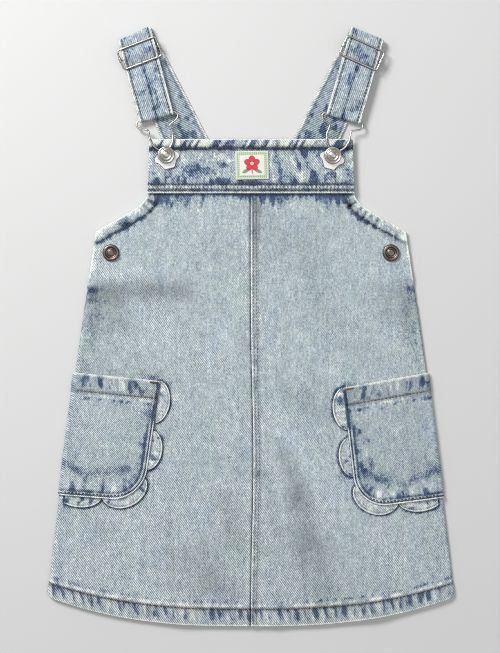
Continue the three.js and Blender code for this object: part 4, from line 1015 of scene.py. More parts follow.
def strap_lay(side, share):
    """A whole strap, share running from one edge at -1 to the other at 1, at each point of its route."""
    sign = SIDES[side]
    _, line_lean = strap_line(side)
    route, back = strap_route(side)
    step = np.gradient(route, axis=0)
    step /= np.linalg.norm(step, axis=1)[:, None]
    down, height = route[:, 0], route[:, 1]
    fold_lean, slider_lean = (math.radians(k) for k in STRAPS[side][2:])
    lean = np.where(back, math.radians(BACK_LEAN), line_lean)
    wide = fold_lean + (slider_lean - fold_lean) * smooth(down, 0, SLIDER_DOWN)
    wide += (lean - wide) * smooth(down, SLIDER_DOWN, SETTLE)
    half = strap_half(down, back)
    down, height, lean, wide, half = (k[:, None] for k in (down, height, lean, wide, half))
    x = sign * (FOLD_X - down * np.sin(lean) - share * half * np.cos(wide))
    y = FOLD_Y - down * np.cos(lean) + share * half * np.sin(wide)
    middle = np.stack(np.broadcast_arrays(x, y, height), -1)
    normal = np.stack(np.broadcast_arrays(
        sign * np.sin(lean) * step[:, 1:], np.cos(lean) * step[:, 1:], step[:, :1]), -1)
    at = lengths(route)[:, None]
    across_mm = share * half
    edge = half - np.abs(across_mm)
    front = ~back[:, None]
    pucker = ripples(at, edge - 2.4, 301 + sign, 4.4, 4.0)
    on_top = front & (at < at[-1] - 60)
    bend = 0.6 * cloudy(at / 30, 0 * at, 305 + sign) - 0.6
    trough = hump(across_mm + bend, 0, 1.15) * smooth(down, SLIDER_DOWN + 6, SLIDER_DOWN + 16) * on_top
    wear = 0.85 * fall(edge, 1.2, 2.0) + 0.35 * pucker - 0.85 * trough
    low_back = smooth(down, 70, 105) * back[:, None]
    spots = cloudy(at / 6.5, across_mm / 4.6, 311 + sign)
    spots += 0.25 * cloudy(at / 2.6, across_mm / 2.4, 313 + sign)
    wear -= 0.85 * smooth(spots + 0.4 * low_back, 0.2, 1.1) * smooth(edge, 3, 5) + 0.2 * back[:, None]
    wear += 0.10 + 0.3 * torn(at / 3.4, across_mm / 2.4, 318) + 0.2 * torn(at / 20, across_mm / 12, 314)
    # Painted shade in the groove under each stitch row, in the trough down the middle and at the edges; the
    # back layer is a little darker.
    shade = -0.42 * groove(edge - STRAP_ROW, 0.8) - 0.22 * trough - 0.05 * back[:, None]
    shade = shade - 0.3 * fall(edge, 0.1, 0.4)
    relief = 0.12 * pucker - 0.22 * groove(edge - STRAP_ROW) - 0.3 * trough
    relief = np.where(front, relief, np.minimum(relief, 0))
    seam = seam_marks(*np.broadcast_arrays(at, edge, 0.45 * hump(edge, 4.5, 2.0)))
    return laid(middle, normal, relief, wear, shade, across_mm, at, seam)


def strap_grid(side):
    """A whole strap on columns that stand closer along its edges and rows of stitches."""
    edge = np.array([0, 0.012, 0.026, 0.045, 0.085, 0.115, 0.145, 0.17, 0.195, 0.22, 0.25, 0.29])
    share = np.concatenate([-1 + edge, np.linspace(-0.65, 0.65, 25), (1 - edge)[::-1]])
    return strap_lay(side, share[None])


def label_grid():
    """A thin label on the bib, turned a little, with its corners eased down to the cloth."""
    edge = np.array([0, 0.006, 0.013, 0.024])
    share = np.concatenate([edge, np.linspace(0.045, 0.955, 40), 1 - edge[::-1]]) - 0.5
    u, v = np.meshgrid(share * LABEL_WIDTH, share * LABEL_HEIGHT)
    turn = math.radians(LABEL_TURN)
    x = LABEL_X + u * math.cos(turn) - v * math.sin(turn)
    y = LABEL_Y + u * math.sin(turn) + v * math.cos(turn)
    border = np.minimum(LABEL_WIDTH / 2 - np.abs(u), LABEL_HEIGHT / 2 - np.abs(v))
    z = BIB_FACE + 0.75 + LABEL_CLOTH / 2 + 0.18 * smooth(border, 2, 6) - 0.12 * groove(border - 2.2, 0.6)
    return laid(np.stack([x, y, z], -1), UPRIGHT, 0.0, 0.0, 0.0, u, v, np.zeros(u.shape + (3,)))


# ---- Materials --------------------------------------------------------------------------------------------

def tone(red, green, blue):
    """A colour on the linear scale from its usual 0 to 255 parts."""
    parts = [k / 255 for k in (red, green, blue)]
    return tuple(k / 12.92 if k <= 0.04045 else ((k + 0.055) / 1.055) ** 2.4 for k in parts) + (1.0,)


def opaque(colour):
    """A colour of three parts as one of four."""
    return tuple(colour) + (1.0,)


class Term:
    """A number socket of a material, with the usual arithmetic."""

    def __init__(self, paint, socket):
        self.paint, self.socket = paint, socket

    def __add__(self, other):
        return self.paint.math("ADD", self, other)

    def __sub__(self, other):
        return self.paint.math("SUBTRACT", self, other)

    def __rsub__(self, other):
        return self.paint.math("SUBTRACT", other, self)

    def __mul__(self, other):
        return self.paint.math("MULTIPLY", self, other)

    __radd__, __rmul__ = __add__, __mul__


class Paint:
    """Builds one procedural material node by node."""

    def __init__(self, name):
        self.material = bpy.data.materials.new(name)
        self.material.use_nodes = True
        self.tree = self.material.node_tree
        self.tree.nodes.clear()

    def node(self, kind, settings=None, inputs=None, out=0):
        """A new node with its settings and inputs, given by the output of it that is used."""
        made = self.tree.nodes.new(kind)
        for name, value in (settings or {}).items():
            setattr(made, name, value)
        for name, value in (inputs or {}).items():
            socket = made.inputs[name]
            if isinstance(value, Term):
                self.tree.links.new(value.socket, socket)
            elif isinstance(value, bpy.types.NodeSocket):
                self.tree.links.new(value, socket)
            else:
                socket.default_value = value
        return made.outputs[out]

    def math(self, operation, *values):
        """The number that an operation makes of one or two others."""
        return Term(self, self.node("ShaderNodeMath", {"operation": operation}, dict(enumerate(values))))

    def mark(self, name):
        """A number that the mesh keeps at each of its points."""
        return Term(self, self.node("ShaderNodeAttribute", {"attribute_name": name}, out=2))

    def share(self, value, low, high, settings=None):
        """How far the value has come from low, as 0, to high, as 1."""
        return self.node("ShaderNodeMapRange", settings, {0: value, 1: low, 2: high, 3: 0.0, 4: 1.0})

    def rise(self, value, low, high):
        """0 below low, 1 above high and a smooth rise between them."""
        return Term(self, self.share(value, low, high, {"interpolation_type": "SMOOTHSTEP"}))

    def mix(self, factor, start, end):
        """A colour between two others."""
        settings = {"data_type": "RGBA", "clamp_factor": True}
        return self.node("ShaderNodeMix", settings, {0: factor, 6: start, 7: end}, out=2)

    def graded(self, value, stops):
        """The colour at a value between (value, colour) stops, by one mix for each pair of them."""
        colour = stops[0][1]
        for (low, _), (high, end) in zip(stops, stops[1:]):
            colour = self.mix(self.share(value, low, high), colour, end)
        return colour

    def dimmed(self, colour, factor):
        """The colour times a number."""
        return self.node("ShaderNodeVectorMath", {"operation": "SCALE"}, {0: colour, 3: factor})

    def scaled(self, vector, factors):
        """The vector or colour times another one, part by part."""
        return self.node("ShaderNodeVectorMath", {"operation": "MULTIPLY"}, {0: vector, 1: factors})

    def noise(self, vector, detail=2.0, rough=0.5, offset=0.0):
        """Soft noise from about -1 to 1 at one wave per unit of the vector."""
        offsets = (offset, offset, offset)
        moved = self.node("ShaderNodeVectorMath", {"operation": "ADD"}, {0: vector, 1: offsets})
        value = self.node("ShaderNodeTexNoise", {"noise_dimensions": "2D"},
                          {"Vector": moved, "Scale": 1.0, "Detail": detail, "Roughness": rough})
        return (Term(self, value) - 0.5) * 3.0

    def parts(self, vector):
        """The three numbers of a vector."""
        made = self.tree.nodes.new("ShaderNodeSeparateXYZ")
        self.tree.links.new(vector, made.inputs[0])
        return [Term(self, socket) for socket in made.outputs]

    def object_place(self, *factors):
        """A place on the object in metres, times a factor for each direction."""
        return self.scaled(self.node("ShaderNodeTexCoord", out=3), factors)

    def cloth_place(self):
        """A place on the flat cloth in millimetres."""
        return self.scaled(self.node("ShaderNodeUVMap", {"uv_map": "cloth"}), (1000, 1000, 1000))

    def bump(self, height, strength, distance):
        """A fine unevenness of the surface."""
        inputs = {"Strength": strength, "Distance": distance, "Height": height}
        return self.node("ShaderNodeBump", None, inputs)

    def finish(self, settings):
        """The finished material, from the sockets of its shader."""
        shader = self.node("ShaderNodeBsdfPrincipled", None, settings)
        output = self.tree.nodes.new("ShaderNodeOutputMaterial")
        self.tree.links.new(shader, output.inputs["Surface"])
        return self.material


def denim_finish(name, level, twill_x, twill_y, contrast=1.0, ribbed=None):
    """Acid-washed denim: one number for how faded the cloth is, turned into a colour by a row of mixes.

    The number is the cloth's own level, plus its clouds, slubs, grain and twill, plus the pale of rubbed
    places and less the blue of unrubbed ones. The twill is a wave that passes twill_x times a millimetre
    across the piece and twill_y times up it. The shade, which is painted shade and painted light, then
    darkens or lightens the whole colour.
    """
    cloth = bpy.context.scene.overall_skirt.cloth
    paint = Paint(name)
    place = paint.cloth_place()
    wear, shade = paint.mark("wear"), paint.mark("shade")
    seam = paint.node("ShaderNodeAttribute", {"attribute_name": "seam"}, out=1)
    along, away, strength = paint.parts(seam)
    u, v, _ = paint.parts(place)

    clouds = paint.noise(paint.scaled(place, (1 / 34, 1 / 46, 1)), 2.0, 0.5)
    patches = paint.noise(paint.scaled(place, (1 / 7.0, 1 / 9.5, 1)), 2.0, 0.6, 7.3)
    slub = paint.noise(paint.scaled(place, (1 / 1.9, 1 / 5.0, 1)), 2.0, 0.6, 3.1)
    grain = paint.noise(paint.scaled(place, (1 / 1.5, 1 / 1.6, 1)), 2.0, 0.6, 9.4)
    ribs = (u * twill_x + v * twill_y) * (2 * math.pi * TWILL_PITCH / cloth.twill_pitch)
    twill = paint.math("SINE", ribs + patches * 0.5 + slub * 0.3)
    floats = paint.math("SINE", (v * twill_x - u * twill_y) * (2 * math.pi * 0.62) + grain * 0.8)
    open_weave = paint.noise(paint.scaled(place, (1 / 41, 1 / 37, 1)), 1.0, 0.5, 21.5)
    if ribbed:
        ribbed = open_weave * 0.3 + ribbed
    else:
        ribbed = 0.2 + paint.rise(open_weave - v * 0.006 - u * 0.005, -0.5, 1.6) * 1.25
    weave = (twill * 0.85 + floats * grain * 0.25) * ribbed

    # Blue bars and pale gaps beside the seams, in seam coordinates of centimetres.
    across_seam = paint.node("ShaderNodeCombineXYZ", None, {0: (along + away * 0.2) * 1.9, 1: away * 0.6})
    bars = paint.noise(across_seam, 2.0, 0.55)
    bars = bars * 0.7 + paint.math("SINE", (along + away * 0.2) * (2 * math.pi / 0.78) + bars * 2.2) * 0.32
    bars = bars + slub * 0.15 + grain * 0.12
    barred = paint.rise(bars * -1.0, -0.05, 0.4) * 0.55 - paint.rise(bars, -0.25, 0.6) * 1.25
    wear = wear + barred * strength

    torn_wear = wear + patches * 0.14 + slub * 0.20 + grain * 0.22 + weave * 0.20
    strands = paint.noise(paint.scaled(place, (1 / 4.6, 1 / 38, 1)), 2.0, 0.6, 17.9)
    fine = (strands * 0.045 + patches * 0.07 + slub * 0.10 + grain * 0.17 + weave * 0.19) * contrast
    fade = (level + clouds * 0.02 + fine * 0.45 + paint.rise(torn_wear, 0.12, 1.15) * 0.25
            - paint.rise(torn_wear * -1.0, 0.12, 1.3) * 0.35 * cloth.blue_left)
    colour = paint.graded(fade, (
        (0.10, tone(26, 34, 56)), (0.25, tone(52, 66, 90)), (0.40, tone(85, 101, 127)),
        (0.53, tone(120, 136, 156)), (0.64, tone(152, 164, 175)), (0.74, tone(180, 191, 194)),
        (0.84, tone(206, 213, 212)), (0.97, opaque(cloth.worn))))
    tints = paint.noise(paint.scaled(place, (1 / 30, 1 / 44, 1)), 2.0, 0.5, 12.7)
    warm = paint.mix(paint.rise(tints, -0.1, 0.9), (1.0, 1.0, 1.0, 1.0), (0.955, 1.012, 0.955, 1.0))
    cool = paint.mix(paint.rise(tints * -1.0, 0.1, 0.9), (1.0, 1.0, 1.0, 1.0), (0.95, 0.98, 1.05, 1.0))
    colour = paint.scaled(paint.scaled(colour, warm), cool)
    # Painted shade and painted light: the shade mark darkens or lightens the whole colour.
    colour = paint.dimmed(colour, (1.0 + shade) * (1.0 + fine * 0.8))
    height = weave * 0.3 + slub * 0.3 + grain * 0.35 + wear * 0.35
    bump = paint.bump(height, 0.6, 0.00025)
    return paint.finish({"Base Color": colour, "Roughness": 0.92, "Normal": bump, "Specular IOR Level": 0.12,
                         "Sheen Weight": 0.08, "Sheen Roughness": 0.5})


def thread_finish(name, dark, light):
    """Dull sewing thread, uneven in colour."""
    paint = Paint(name)
    grain = paint.noise(paint.object_place(700, 700, 700), 2.0, 0.6)
    patch = paint.noise(paint.object_place(45, 45, 45), 1.0, 0.5, 4.0)
    colour = paint.mix(0.5 + grain * 0.35 + patch * 0.35, dark, light)
    bump = paint.bump(grain, 0.4, 0.0001)
    return paint.finish({"Base Color": colour, "Roughness": 0.75, "Normal": bump, "Specular IOR Level": 0.2})


def label_finish():
    """A woven label: fine ribs, a stitched border and a small plain flower with two leaves."""
    colours = bpy.context.scene.overall_skirt.label
    paint = Paint("woven_label")
    place = paint.cloth_place()
    u, v, _ = paint.parts(place)
    ribs = paint.math("SINE", v * (2 * math.pi / 0.55))
    weft = paint.math("SINE", u * (2 * math.pi / 0.7))
    grain = paint.noise(paint.scaled(place, (1 / 0.9, 1 / 0.9, 1)), 2.0, 0.6)
    colour = paint.mix(0.5 + ribs * 0.12 + grain * 0.18, tone(206, 214, 190), tone(236, 238, 222))

    from_sides = LABEL_WIDTH / 2 - paint.math("ABSOLUTE", u)
    from_ends = LABEL_HEIGHT / 2 - paint.math("ABSOLUTE", v)
    side = paint.math("MINIMUM", from_sides, from_ends)
    cross_stitch = 2 * math.pi / 3.1
    crosses = paint.math("SINE", (u + v) * cross_stitch) * paint.math("SINE", (u - v) * cross_stitch)
    border = paint.rise(side, 0.9, 1.2) * (1 - paint.rise(side, 3.3, 3.6))
    stitched = border * (0.1 + 0.75 * paint.rise(crosses, -0.15, 0.2))
    colour = paint.mix(stitched, colour, opaque(colours.border))
    inside = paint.rise(side, 3.6, 3.9)
    colour = paint.mix(inside * 0.55, colour, tone(248, 249, 243))

    def spot(x, y, half_x, half_y, turn=0.0):
        """1 inside a small ellipse and 0 outside it."""
        c, s = math.cos(turn), math.sin(turn)
        a = (u - x) * (c / half_x) + (v - y) * (s / half_x)
        b = (v - y) * (c / half_y) - (u - x) * (s / half_y)
        return 1 - paint.rise(a * a + b * b, 0.75, 1.15)

    for x, y, half_x, half_y, turn in ((-5.0, -4.6, 3.6, 1.5, 0.5), (4.9, -4.9, 3.5, 1.5, -0.45),
                                       (0.0, -5.0, 0.6, 2.6, 0.0)):
        colour = paint.mix(spot(x, y, half_x, half_y, turn) * 0.8, colour, opaque(colours.leaf))
    for k in range(5):
        angle = math.radians(90 + 72 * k)
        petal = spot(3.6 * math.cos(angle), 1.4 + 3.6 * math.sin(angle), 3.2, 2.7, angle)
        colour = paint.mix(petal * 0.95, colour, opaque(colours.flower))
    colour = paint.mix(spot(0, 1.4, 1.5, 1.5), colour, tone(238, 222, 168))
    bump = paint.bump(ribs * 0.5 + weft * 0.3 + grain * 0.4, 0.5, 0.00015)
    return paint.finish({"Base Color": colour, "Roughness": 0.8, "Normal": bump, "Specular IOR Level": 0.2,
                         "Sheen Weight": 0.2})


def metal_finish(name, bright, dark, rough, stain=0.5):
    """Plated metal: fine scratches, darker duller patches, and painted shade on faces turned from above."""
    paint = Paint(name)
    patch = paint.noise(paint.object_place(260, 260, 260), 3.0, 0.6)
    fine = paint.noise(paint.object_place(1900, 500, 900), 2.0, 0.6, 3.0)
    upward = paint.mark("upward")
    dull = paint.rise(patch, 0.0, 1.2)
    colour = paint.mix(dull * stain + fine * 0.12, bright, dark)
    # Painted shade: faces that turn away from above are darkened towards a deep tone of the dark colour.
    colour = paint.mix((1 - paint.rise(upward, 0.3, 0.93)) * 0.9, colour, opaque(k * 0.28 for k in dark[:3]))
    bump = paint.bump(patch + fine, 0.25, 0.00008)
    uneven = rough + dull * 0.14 + fine * 0.04
    return paint.finish({"Base Color": colour, "Metallic": 1.0, "Roughness": uneven, "Normal": bump})


def floor_finish():
    """A matt floor with a hardly visible mottle."""
    colour = bpy.context.scene.overall_skirt.stage.floor
    paint = Paint("pale_floor")
    soft = paint.noise(paint.object_place(3, 3, 3), 2.0, 0.5)
    tint = paint.mix(0.5 + soft * 0.3, opaque(k * 0.97 for k in colour), opaque(colour))
    return paint.finish({"Base Color": tint, "Roughness": 0.9, "Specular IOR Level": 0.1})


def finish(name):
    """The named material, made when it is first asked for."""
    made = bpy.data.materials.get(name)
    if made:
        return made
    makers = {
        "panel_denim": lambda: denim_finish(name, 0.722, 0.56, 0.41),
        "pocket_denim": lambda: denim_finish(name, 0.70, 0.60, 0.50),
        "bib_denim": lambda: denim_finish(name, 0.69, 0.50, 0.42, 1.2, 0.75),
        "trim_denim": lambda: denim_finish(name, 0.74, 0.52, 0.44, 1.1, 0.7),
        "strap_denim": lambda: denim_finish(name, 0.672, 0.50, 0.38, 1.0, 0.85),
        "seam_thread": lambda: thread_finish(name, tone(62, 58, 60), tone(108, 98, 92)),
        "centre_thread": lambda: thread_finish(name, tone(96, 96, 100), tone(142, 140, 138)),
        "pocket_thread": lambda: thread_finish(name, tone(84, 74, 70), tone(128, 113, 102)),
        "woven_label": label_finish,
        "polished_nickel": lambda: metal_finish(name, tone(214, 209, 204), tone(104, 98, 94), 0.3, 0.4),
        "pressed_nickel": lambda: metal_finish(name, tone(252, 251, 249), tone(204, 200, 195), 0.4, 0.2),
        "antique_nickel": lambda: metal_finish(name, tone(128, 119, 112), tone(58, 52, 50), 0.36, 0.7),
        "pale_floor": floor_finish,
    }
    return makers[name]()


# ---- Sewing lines -----------------------------------------------------------------------------------------

def on_face(lay, thickness):
    """Points on the outer face of a cloth and the directions out of it."""
    return lay["middle"] + lay["normal"] * (thickness / 2 + lay["relief"][..., None]), lay["normal"]


def front_rows(side):
    """Stitch rows of a front: its hem and its armhole."""
    _, _, end = across(HEM_CORNER_Y + HEM_DEPTH)
    s = np.linspace(9 if side == "right" else 2.5, end - 3.2, 300)
    rows = [on_face(front_lay(side, s, np.full(s.shape, HEM_CORNER_Y + HEM_DEPTH)), DENIM)]
    line = resampled(armhole_line(ARMHOLE_DEPTH), 1.0)
    line = line[(line[:, 1] < BIB_BOTTOM - 2) & (line[:, 0] < half_width(line[:, 1]) - 1.5)]
    rows.append(on_face(front_lay(side, line[:, 0], line[:, 1]), DENIM))
    return rows


def centre_rows():
    """The two rows that hold down the lapped centre seam of the front."""
    side_y = np.linspace(HEM_CORNER_Y + 1.5, BIB_BOTTOM - 2, 500)
    return [on_face(front_lay("right", np.full(side_y.shape, out), side_y), DENIM) for out in CENTRE_ROWS]


def back_rows(side):
    """Stitch rows of a back: its hem and, on the right, the two rows of the centre seam."""
    end = half_width(HEM_CORNER_Y + HEM_DEPTH) - 7
    s = np.linspace(9, end, 300)
    rows = [on_face(back_lay(side, s, np.full(s.shape, HEM_CORNER_Y + HEM_DEPTH)), DENIM)]
    if side == "right":
        side_y = np.linspace(HEM_CORNER_Y + 3, 130, 500)
        for out in BACK_ROWS:
            rows.append(on_face(back_lay(side, np.full(side_y.shape, out), side_y), DENIM))
    return rows


def bib_rows():
    """Stitch rows of the bib: two along its seam, one along its top and one down its right side."""
    u = np.linspace(-0.985, 0.985, 400)
    rows = [on_face(bib_lay(u, np.full(u.shape, y)), BIB_CLOTH)
            for y in (BIB_BOTTOM + 2.6, BIB_BOTTOM + 7.7, BIB_TOP - 7.2)]
    y = np.linspace(BIB_BOTTOM + 9, BIB_TOP - 8, 120)
    return rows + [on_face(bib_lay(np.full(y.shape, BIB_SIDE_ROW), y), BIB_CLOTH)]


def pocket_rows(side):
    """Stitch rows of a pocket: one under its mouth and one inside its inner and lower edge."""
    share = POCKET_SEWN / pocket_height(side)
    s = np.linspace(pocket_inner(side, share) + 3.4, across(pocket_y(side, 150.0, share))[0] - 1, 200)
    rows = [on_face(pocket_lay(side, s, np.full(s.shape, share)), DENIM)]
    line = resampled(pocket_edge(side), 1.0)
    run = np.gradient(line, axis=0)
    run /= np.linalg.norm(run, axis=1)[:, None]
    inset = line + np.stack([-run[:, 1], run[:, 0]], 1) * 3.0
    inset = inset[inset[:, 1] < pocket_y(side, inset[:, 0], 1.0) + 9][:-2]
    top, bottom = pocket_y(side, inset[:, 0], 0.0), pocket_y(side, inset[:, 0], 1.0)
    rows.append(on_face(pocket_lay(side, inset[:, 0], (top - inset[:, 1]) / (top - bottom)), DENIM))
    return rows


def strap_rows(side):
    """Rows along both edges of a strap, on the stretches of it that can be seen."""
    route, back = strap_route(side)
    half = strap_half(route[:, 0], back)[:, None]
    rows = []
    front_end = strap_line(side)[0] - CLIP_LENGTH + 1.2
    shown = back & (route[:, 0] > 3)
    over = (~back & (route[:, 0] < front_end) & (route[:, 1] > STRAP_FRONT - 0.9)) | (route[:, 0] < 3.2)
    for sign in (-1, 1):
        points, normal = on_face(strap_lay(side, sign * (1 - STRAP_ROW / half)), STRAP_CLOTH)
        for part in (shown, over):
            rows.append((points[part, 0], normal[part, 0]))
    return rows


def tack_rows(side):
    """A bar tack at a pocket's upper inner corner: short threads side by side, close together."""
    s = pocket_inner(side, 0.0) + 1.4 + 0.45 * np.arange(17)
    down = np.array([0.9, 1.5, 2.1, 2.7]) / pocket_height(side)
    return list(zip(*on_face(pocket_lay(side, s[:, None], down), DENIM)))


# ---- Metal ------------------------------------------------------------------------------------------------

def on_strap(points, side, down, lean):
    """Turns a shape about the upright axis and puts it on the strap's middle, some way down its front."""
    sign = SIDES[side]
    _, line_lean = strap_line(side)
    turn = -sign * lean
    x = points[:, 0] * math.cos(turn) - points[:, 1] * math.sin(turn)
    y = points[:, 0] * math.sin(turn) + points[:, 1] * math.cos(turn)
    middle_x, middle_y = FOLD_X - down * math.sin(line_lean), FOLD_Y - down * math.cos(line_lean)
    return np.stack([x + sign * middle_x, y + middle_y, points[:, 2]], 1)


def capped(points, faces, sides):
    """An open tube with a flat face of quads over each end."""
    last = len(points) - sides
    k = np.arange(1, sides // 2)
    start = np.stack([sides - k, k, k - 1, (sides + 1 - k) % sides], -1)
    return points, np.concatenate([faces, start, (start + last)[:, ::-1]])


def slider_mesh():
    """A rounded oblong of wire, thicker at its ends, with a lowered bar for the strap across its middle."""
    corners = np.array([[1, 1], [-1, 1], [-1, -1], [1, -1]]) * [SLIDER_HALF_LENGTH, SLIDER_HALF_HEIGHT]
    corners = np.concatenate([corners, np.full((4, 1), FRAME_HEIGHT)], 1)
    frame_line = ring_line(corners, 2.4, 0.7)
    middle = bent([[-SLIDER_HALF_LENGTH, 0, FRAME_HEIGHT], [-SLIDER_HALF_LENGTH, 0, BAR_HEIGHT],
                   [SLIDER_HALF_LENGTH, 0, BAR_HEIGHT], [SLIDER_HALF_LENGTH, 0, FRAME_HEIGHT]], 1.0, False)
    lower = (frame_line[:, 1] < -7) & (np.abs(frame_line[:, 0]) < 13)
    joint = 1 - 0.3 * hump(frame_line[:, 0], 0, 0.45) * lower
    parts = [tube(frame_line, (WIRE + 0.22 * lower) * joint, 14, UPRIGHT, True),
             capped(*tube(middle, WIRE, 12, np.array([0.0, 1, 0]), False), 12)]
    for end in (-1, 1):
        y = np.linspace(-1, 1, 9)
        rail = np.stack([np.full(9, end * SLIDER_HALF_LENGTH), y * 2.3, np.full(9, FRAME_HEIGHT)], 1)
        parts.append(capped(*tube(rail, 0.75 + 0.5 * (1 - y ** 8) ** 0.5, 14, UPRIGHT, False), 14))
    return joined(parts)


def clip_mesh():
    """The clip's wire loop: wide at the strap, narrow at the button, rising from the strap to the bib."""
    half = np.array([
        [16, CLIP_LENGTH, BAR_HEIGHT], [18, 30, BAR_HEIGHT + 0.4], [16, 26.6, BAR_HEIGHT + 1.1],
        [9, 24, BAR_HEIGHT + 1.9], [9.9, 15, CLIP_HEIGHT - 0.7], [7.8, 8.8, CLIP_HEIGHT],
        [3.8, 4.6, CLIP_HEIGHT], [3.8, -2.4, CLIP_HEIGHT], [1.6, -4, CLIP_HEIGHT]])
    loop = ring_line(np.concatenate([half, (half * [-1, 1, 1])[::-1]]), 2.0, 0.8)
    return tube(loop, WIRE, 14, UPRIGHT, True)


def plate_mesh():
    """A pressed plate under the button: an eared outline carried inward to the stem's hole, edges eased."""
    half = [[4, -11.5], [7.4, -5.6], [10.3, -3.8], [10.3, -0.8], [7.4, 1.6], [5, 5.6]]
    outline = np.array(half + [[-x, y] for x, y in reversed(half)], float)
    outline = ring_line(outline, 0.9, 0.6, 5)
    angle = np.arctan2(outline[:, 1], outline[:, 0])
    hole = 2.9 * np.stack([np.cos(angle), np.sin(angle)], 1)
    shares = (0.0, 0.012, 0.035, 0.35, 0.7, 1.0, 1.0, 0.7, 0.35, 0.035, 0.012)
    top = PLATE_THICKNESS
    heights = (0.4, 0.66, top, top, top, top, 0.0, 0.0, 0.0, 0.0, 0.14)
    rings = [np.insert(outline + (hole - outline) * share, 2, PLATE_BASE + z, axis=1)
             for share, z in zip(shares, heights)]
    return np.concatenate(rings), ring_faces(len(rings), len(outline), True)


def bib_button_mesh():
    """A domed cap with turned rings and a bright boss, on a stem that ends in a tack behind the bib."""
    top, tack = BUTTON_BASE, BIB_MID - BIB_CLOTH / 2 - GAP
    return turned([
        (0, tack - 1.2), (3.6, tack - 1.2), (3.8, tack - 1.0), (3.8, tack - 0.2), (3.6, tack), (2.5, tack),
        (2.5, top), (6.6, top), (6.95, top + 0.15), (7.1, top + 0.5), (7.0, top + 0.9), (6.6, top + 1.2),
        (6.1, top + 1.25), (5.7, top + 0.8), (5.4, top + 0.6), (5.0, top + 0.9), (4.6, top + 1.6),
        (4.1, top + 1.85), (3.8, top + 1.8), (3.5, top + 1.5), (3.1, top + 1.4), (2.8, top + 1.7),
        (2.4, top + 2.2), (1.7, top + 2.45), (0.9, top + 2.57), (0.3, top + 2.6)])


def side_button_mesh():
    """A shank button: a hollow rim round a sunk middle with a small nub, on a stem through both layers."""
    base = FRONT_MID + DENIM / 2 + GAP
    return turned([
        (0, 0.02), (2.2, 0.02), (2.2, base), (6.5, base), (6.85, base + 0.2), (7.0, base + 0.7),
        (6.85, base + 1.3), (6.4, base + 1.8), (5.7, base + 2.1), (5.0, base + 2.05), (4.5, base + 1.7),
        (4.2, base + 1.2), (3.9, base + 0.8), (3.2, base + 0.75), (2.9, base + 1.1), (2.6, base + 1.4),
        (2.2, base + 1.55), (1.0, base + 1.6), (0.3, base + 1.6)])


# ---- What a user may change -------------------------------------------------------------------------------

def colour_setting(name, description, colour):
    """A colour that a user may change."""
    return bpy.props.FloatVectorProperty(name=name, description=description, default=colour, subtype="COLOR")


def length_setting(name, description, length, least=0.0):
    """A length that a user may change."""
    return bpy.props.FloatProperty(
        name=name, description=description, default=length, min=least, unit="LENGTH")


class SkirtClothSettings(bpy.types.PropertyGroup):
    twill_pitch: length_setting("Twill pitch", "Distance between the ribs of the denim", TWILL_PITCH, 0.0004)
    blue_left: bpy.props.FloatProperty(
        name="Blue left", description="How strongly unrubbed denim keeps its blue", default=1.0, min=0, max=1,
        subtype="FACTOR")
    worn: colour_setting("Worn", "Colour of the rubbed edges", tone(236, 238, 234)[:3])


class SkirtSewingSettings(bpy.types.PropertyGroup):
    pitch: length_setting("Stitch pitch", "Distance from one stitch to the next", 0.0029, 0.0005)
    length: length_setting("Stitch length", "Length of thread that shows in one stitch", 0.0025)


class SkirtLabelSettings(bpy.types.PropertyGroup):
    border: colour_setting("Border", "Colour of the label's stitched border", tone(132, 172, 132)[:3])
    flower: colour_setting("Flower", "Colour of the flower's petals", tone(218, 48, 70)[:3])
    leaf: colour_setting("Leaf", "Colour of the flower's leaves", tone(92, 128, 76)[:3])


class SkirtStageSettings(bpy.types.PropertyGroup):
    camera_height: length_setting("Camera height", "Height of the camera over the floor", 1.5086)
    floor: colour_setting("Floor", "Colour of the floor", (0.72, 0.72, 0.71))
    key_power: bpy.props.FloatProperty(
        name="Key light", description="Power of the main light in watts", default=29.2, min=0)


class SkirtSettings(bpy.types.PropertyGroup):
    cloth: bpy.props.PointerProperty(type=SkirtClothSettings)
    sewing: bpy.props.PointerProperty(type=SkirtSewingSettings)
    label: bpy.props.PointerProperty(type=SkirtLabelSettings)
    stage: bpy.props.PointerProperty(type=SkirtStageSettings)


# ---- Operators --------------------------------------------------------------------------------------------

class SKIRT_OT_backs(bpy.types.Operator):
    """Lay both back panels on the floor"""
    bl_idname = "skirt.backs"
    bl_label = "Back Panels"

    def execute(self, context):
        for side in SIDES:
            piece = cloth_piece(f"back_cloth_{side}", back_grid(side), DENIM, finish("panel_denim"), "denim")
            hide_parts(f"back_{side}")
        return {"FINISHED"}


class SKIRT_OT_fronts(bpy.types.Operator):
    """Lay both front panels over the backs"""
    bl_idname = "skirt.fronts"
    bl_label = "Front Panels"

    def execute(self, context):
        for side in SIDES:
            denim = finish("panel_denim")
            piece = cloth_piece(f"front_cloth_{side}", front_grid(side), DENIM, denim, "denim")
            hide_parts(f"front_{side}")
        return {"FINISHED"}


class SKIRT_OT_bib(bpy.types.Operator):
    """Lay the bib over the tops of the fronts"""
    bl_idname = "skirt.bib"
    bl_label = "Bib"

    def execute(self, context):
        piece = cloth_piece("bib_cloth", bib_grid(), BIB_CLOTH, finish("bib_denim"), "denim")
        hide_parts("bib")
        return {"FINISHED"}


class SKIRT_OT_scallops(bpy.types.Operator):
    """Lay the scalloped trims on the fronts"""
    bl_idname = "skirt.scallops"
    bl_label = "Scallops"

    def execute(self, context):
        for side in SIDES:
            piece = cloth_piece(f"scallop_flaps_{side}", scallop_grid(side), SCALLOP_CLOTH,
                                finish("trim_denim"), "scallop_denim")
            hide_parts(f"scallops_{side}")
        return {"FINISHED"}


